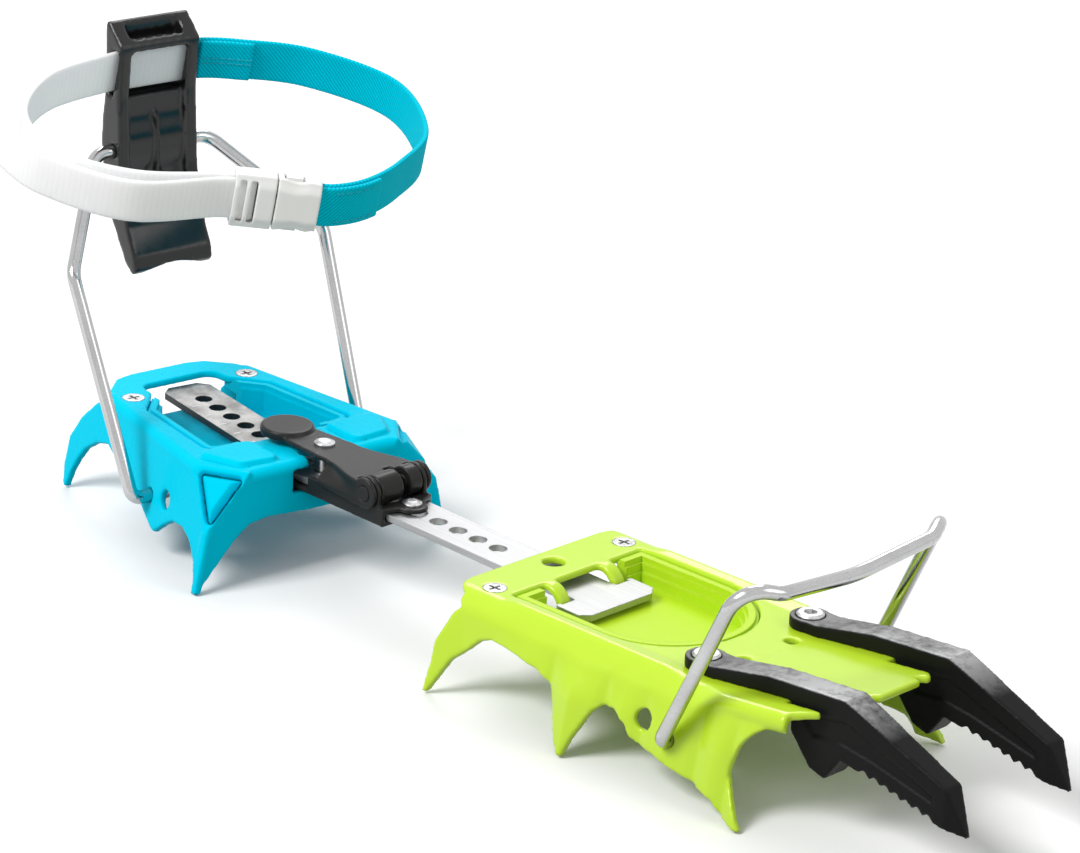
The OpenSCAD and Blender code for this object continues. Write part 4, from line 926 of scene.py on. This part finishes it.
def lever_plastic():
    return coated("black moulded plastic", (0.008, 0.008, 0.0084), wear_color=(0.1, 0.1, 0.1), wear=0.3,
                  roughness=0.14, peel=0.03, peel_scale=2400, drift=0.3, round_edge=1.2 * MM, gloss=0.42)


def white_plastic():
    return coated("white moulded plastic", (0.9, 0.9, 0.89), wear_color=(0.93, 0.93, 0.92), wear=0.2,
                  roughness=0.38, peel=0.06, peel_scale=2600, coat=0.1, round_edge=0.7 * MM)


def point_steel():
    return forged("forged points", (0.46, 0.46, 0.465), colours().black)


def white_webbing():
    return webbing("white webbing", colours().white, groove=(0.93, 0.93, 0.925), rib=1.7, yarn=0.7,
                   slant=0.0, relief=0.12, sheen=0.5, glow=0.8)


def blue_webbing():
    return webbing("blue webbing", colours().blue, groove=(0.0, 0.36, 0.5), rib=1.3, yarn=0.9, slant=1.0,
                   relief=0.4)


def blue_thread():
    return webbing("blue thread", (0.05, 0.62, 0.75), groove=(0.0, 0.3, 0.4), rib=0.3, yarn=0.4, slant=1.0,
                   relief=0.6)


# Pieces

class CRAMPON_OT_front_unit(bpy.types.Operator):
    """Paint the front frame, its tray and its fasteners"""
    bl_idname = "crampon.front_unit"
    bl_label = "Front unit"

    def execute(self, context):
        skin = soften("front_frame", voxel=0.5, rounds=7, shape=press_front, budget=FRAME_BUDGET)
        finish(skin, lime_paint(), "front", SKIN_ANGLE, even=True)
        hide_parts("front_frame")
        dress("front_tray", lime_plastic())
        for node in ("front_tray_screws", "front_point_bolts", "front_point_nuts"):
            dress(node, screw_steel())
        return {"FINISHED"}


class CRAMPON_OT_front_points(bpy.types.Operator):
    """Blacken the front points and wear their tops"""
    bl_idname = "crampon.front_points"
    bl_label = "Front points"

    def execute(self, context):
        for node in ("front_point_right", "front_point_left"):
            skin = soften(node, voxel=0.45, rounds=4, shape=press_point)
            finish(skin, point_steel(), "front", SKIN_ANGLE)
            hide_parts(node)
        return {"FINISHED"}


class CRAMPON_OT_wires(bpy.types.Operator):
    """Drawn stainless wire for both bails"""
    bl_idname = "crampon.wires"
    bl_label = "Bail wires"

    def execute(self, context):
        for node in ("toe_bail", "heel_bail"):
            dress(node, wire_steel())
        return {"FINISHED"}


# Ticks on the bar's rear run, between its holes: their size along, across and up, and their places
TICK_SIZE, TICK_BEVEL = (0.5, 2.4, 0.05), 0.02
TICK_COUNT, TICK_FIRST, TICK_PITCH = 6, 9.6, 8
TICK_SIDE, TICK_LIFT = 5.4, 0.03


class CRAMPON_OT_bar(bpy.types.Operator):
    """Brushed steel and plain ticks for the linking bar"""
    bl_idname = "crampon.bar"
    bl_label = "Linking bar"

    def execute(self, context):
        dress("link_bar", bar_steel())
        finish(self.marks(), bar_print(), "bar", TRIM_ANGLE)
        return {"FINISHED"}

    def marks(self):
        """Plain printed ticks beside the row of holes."""
        deselect()
        bpy.ops.mesh.primitive_cube_add(size=1)
        bpy.ops.transform.resize(value=[length * MM for length in TICK_SIZE])
        first = start("bar_marks")
        bevel_edges(TICK_BEVEL * MM)
        spots = [(TICK_FIRST + TICK_PITCH * i, TICK_SIDE, TICK_LIFT) for i in range(TICK_COUNT)]
        return repeat(first, [BAR_REAR @ Matrix.Translation(spot) for spot in spots])


class CRAMPON_OT_heel_unit(bpy.types.Operator):
    """Paint the heel frame, its tray and its screws"""
    bl_idname = "crampon.heel_unit"
    bl_label = "Heel unit"

    def execute(self, context):
        skin = soften("heel_frame", voxel=0.42, rounds=7, shape=press_heel, budget=FRAME_BUDGET)
        finish(skin, teal_paint(), "heel", SKIN_ANGLE, even=True)
        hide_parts("heel_frame")
        dress("heel_tray", teal_plastic())
        dress("heel_tray_screws", screw_steel())
        return {"FINISHED"}


class CRAMPON_OT_adjuster(bpy.types.Operator):
    """Black paint for the length adjuster and bright rivets"""
    bl_idname = "crampon.adjuster"
    bl_label = "Length adjuster"

    def execute(self, context):
        parts = (("adjuster_base", "heel", None), ("adjuster_lever", "adjuster_lever", press_arm))
        for node, body, shape in parts:
            skin = soften(node, voxel=0.3, rounds=3, shape=shape)
            finish(skin, black_paint(), body, SKIN_ANGLE)
            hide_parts(node)
        dress("adjuster_hinge_pins", black_paint())
        for node in ("adjuster_rivet", "lock_stud"):
            dress(node, screw_steel())
        return {"FINISHED"}


class CRAMPON_OT_lever(bpy.types.Operator):
    """Moulded plastic for the heel lever and the buckle"""
    bl_idname = "crampon.lever"
    bl_label = "Heel lever and buckle"

    def execute(self, context):
        skin = soften("heel_lever", voxel=0.45, rounds=9, shape=press_lever)
        finish(skin, lever_plastic(), "heel_lever", SKIN_ANGLE)
        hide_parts("heel_lever")
        for node in ("buckle_frame", "buckle_socket"):
            skin = soften(node, voxel=0.28, rounds=4, shape=press_buckle)
            finish(skin, white_plastic(), "heel_lever", SKIN_ANGLE)
            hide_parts(node)
        for node in ("buckle_latch_top", "buckle_latch_bottom"):
            dress(node, white_plastic())
        return {"FINISHED"}


# Folds of the blue strap: from and to, measured from its buckle end and from its lever end
FOLD_FROM_END, HEM_FROM_START = (23, 2), (1.2, 19)
FOLD_GAP, FOLD_NARROWER = 0.06, 0.6
# Stitches: first one, pitch and count along a fold, and the heights of the rows
FOLD_SEAM, FOLD_ROWS = (4, 2.9, 5), (-4.6, 4.6)
HEM_SEAM, HEM_ROWS = (2, 2.7, 6), (-0.8, 0.8)
STITCH_OUT = 0.1


class CRAMPON_OT_straps(bpy.types.Operator):
    """Weave the two webbings of the ankle strap, with their sewn folds"""
    bl_idname = "crampon.straps"
    bl_label = "Straps"

    def execute(self, context):
        width, thick = sizes().strap_width / MM, sizes().strap_thick / MM
        run = ribbon("white_run", white_path(), width, thick)
        tail = ribbon("white_tail", white_tail_path(), width, thick)
        for piece in (run, tail):
            finish(piece, white_webbing(), "heel_lever", CLOTH_ANGLE)
        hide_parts("strap_white")
        path = blue_path()
        run = ribbon("blue_run", path, width, thick)
        finish(run, blue_webbing(), "heel_lever", CLOTH_ANGLE)
        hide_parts("strap_blue")
        self.sew_folds(path, width, thick)
        return {"FINISHED"}

    def sew_folds(self, path, width, thick):
        """Fold at the buckle on the outer side, hem at the lever on the inner side, each with its seam."""
        length = path_length(path)
        low, high = (length - distance for distance in FOLD_FROM_END)
        fold = offset_path(path, low, high, -(thick + FOLD_GAP))
        hem = offset_path(path, *HEM_FROM_START, thick + FOLD_GAP)
        for name, route in (("blue_fold", fold), ("blue_hem", hem)):
            piece = ribbon(name, route, width - FOLD_NARROWER, thick)
            finish(piece, blue_webbing(), "heel_lever", CLOTH_ANGLE)
        out = thick / 2 + STITCH_OUT
        seams = (("blue_fold_stitches", fold, FOLD_SEAM, FOLD_ROWS, -out),
                 ("blue_hem_stitches", hem, HEM_SEAM, HEM_ROWS, out))
        for name, route, (first, pitch, count), rows, gap in seams:
            spots = [(first + pitch * i, row) for i in range(count) for row in rows]
            piece = stitches(name, route, spots, gap)
            finish(piece, blue_thread(), "heel_lever", TRIM_ANGLE)


# Studio: sizes in metres, light in watts, angles in degrees, lens and sensor in millimetres
FLOOR_SIZE, FLOOR_DROP = 8, 0.3 * MM
FLOOR_SEEN, FLOOR_LIT = 0.95, 0.4
WORLD_SEEN, WORLD_LIT = 1.0, 0.52
LAMPS = [("key", (-0.35, -1.25, 1.35), 0.7, 25), ("fill", (1.3, 0.4, 0.9), 0.8, 3.5),
         ("back", (-0.9, 0.9, 1.2), 0.7, 9)]
LAMP_TARGET = Vector((0, 0, 0.05))
CAMERA_AZIMUTH, CAMERA_ELEVATION, CAMERA_ROLL = 43.29, 20.60, 2.70
CAMERA_TARGET = Vector((38.27, -37.41, 85.91)) * MM
CAMERA_DISTANCE = 1137.83 * MM
CAMERA_LENS, CAMERA_SENSOR, CAMERA_NEAR = 143.74, 36, 0.01


def by_ray(g, lit, seen):
    """One shader for the light that falls on the part, another for what the camera and reflections see."""
    path = g.add("ShaderNodeLightPath").outputs
    mirror = g.math("MAXIMUM", path["Is Camera Ray"], path["Is Glossy Ray"])
    direct = g.math("MAXIMUM", mirror, path["Is Transmission Ray"])
    return g.add("ShaderNodeMixShader", {0: direct, 1: lit.outputs[0], 2: seen.outputs[0]}).outputs[0]


class CRAMPON_OT_stage(bpy.types.Operator):
    """Pale floor, soft studio light and the camera at the photograph's angle"""
    bl_idname = "crampon.stage"
    bl_label = "Studio"

    def execute(self, context):
        self.add_floor(context)
        self.add_world(context.scene)
        self.add_lamps(context)
        self.add_camera(context.scene)
        context.scene.view_settings.view_transform = "Standard"
        return {"FINISHED"}

    def add_floor(self, context):
        deselect()
        bpy.ops.mesh.primitive_plane_add(size=FLOOR_SIZE, location=(0, 0, 0))
        floor = context.object
        floor.name = "studio_floor"
        floor.data.transform(Matrix.Translation((0, 0, -FLOOR_DROP)))
        material = bpy.data.materials.new("studio floor")
        g = empty_graph(material)
        lit, seen = (g.add("ShaderNodeBsdfDiffuse", {"Color": rgba([grey] * 3)})
                     for grey in (FLOOR_LIT, FLOOR_SEEN))
        g.add("ShaderNodeOutputMaterial", {"Surface": by_ray(g, lit, seen)})
        floor.data.materials.append(material)

    def add_world(self, scene):
        scene.world = bpy.data.worlds.new("studio white")
        g = empty_graph(scene.world)
        lit, seen = (g.add("ShaderNodeBackground", {"Color": (1, 1, 1, 1), "Strength": strength})
                     for strength in (WORLD_LIT, WORLD_SEEN))
        g.add("ShaderNodeOutputWorld", {"Surface": by_ray(g, lit, seen)})

    def add_lamps(self, context):
        for name, where, size, power in LAMPS:
            light = bpy.data.lights.new(name, "AREA")
            light.size = size
            light.energy = power
            lamp = bpy.data.objects.new(name, light)
            context.collection.objects.link(lamp)
            lamp.location = where
            lamp.rotation_euler = (LAMP_TARGET - Vector(where)).to_track_quat("-Z", "Y").to_euler()

    def add_camera(self, scene):
        a, e, r = (math.radians(angle) for angle in (CAMERA_AZIMUTH, CAMERA_ELEVATION, CAMERA_ROLL))
        right = Vector((math.cos(a), math.sin(a), 0))
        up = Vector((-math.sin(e) * math.sin(a), math.sin(e) * math.cos(a), math.cos(e)))
        back = Vector((math.sin(a) * math.cos(e), -math.cos(a) * math.cos(e), math.sin(e)))
        x = right * math.cos(r) + up * math.sin(r)
        y = up * math.cos(r) - right * math.sin(r)
        spot = CAMERA_TARGET + back * CAMERA_DISTANCE
        data = bpy.data.cameras.new("camera")
        data.lens = CAMERA_LENS
        data.sensor_width = CAMERA_SENSOR
        data.sensor_fit = "HORIZONTAL"
        data.clip_start = CAMERA_NEAR
        camera = bpy.data.objects.new("camera", data)
        camera.matrix_world = Matrix(((x.x, y.x, back.x, spot.x), (x.y, y.y, back.y, spot.y),
                                      (x.z, y.z, back.z, spot.z), (0, 0, 0, 1)))
        scene.collection.objects.link(camera)
        scene.camera = camera


OPERATORS = (CRAMPON_OT_front_unit, CRAMPON_OT_front_points, CRAMPON_OT_wires, CRAMPON_OT_bar,
             CRAMPON_OT_heel_unit, CRAMPON_OT_adjuster, CRAMPON_OT_lever, CRAMPON_OT_straps,
             CRAMPON_OT_stage)


class CRAMPON_PT_panel(bpy.types.Panel):
    """Sizes, colours and steps of the crampon"""
    bl_idname = "CRAMPON_PT_panel"
    bl_label = "Automatic crampon"
    bl_space_type = "VIEW_3D"
    bl_region_type = "UI"
    bl_category = "Crampon"

    def draw(self, context):
        for group in (context.scene.crampon_colours, context.scene.crampon_sizes):
            for name in group.__annotations__:
                self.layout.prop(group, name)
        for operator in OPERATORS:
            self.layout.operator(operator.bl_idname)


CLASSES = (CramponColours, CramponSizes) + OPERATORS + (CRAMPON_PT_panel,)


def register():
    for item in CLASSES:
        bpy.utils.register_class(item)
    bpy.types.Scene.crampon_colours = bpy.props.PointerProperty(type=CramponColours)
    bpy.types.Scene.crampon_sizes = bpy.props.PointerProperty(type=CramponSizes)


def unregister():
    del bpy.types.Scene.crampon_sizes
    del bpy.types.Scene.crampon_colours
    for item in reversed(CLASSES):
        bpy.utils.unregister_class(item)


def main():
    register()
    for operator in OPERATORS:
        family, name = operator.bl_idname.split(".")
        getattr(getattr(bpy.ops, family), name)()


if __name__ == "__main__":
    main()
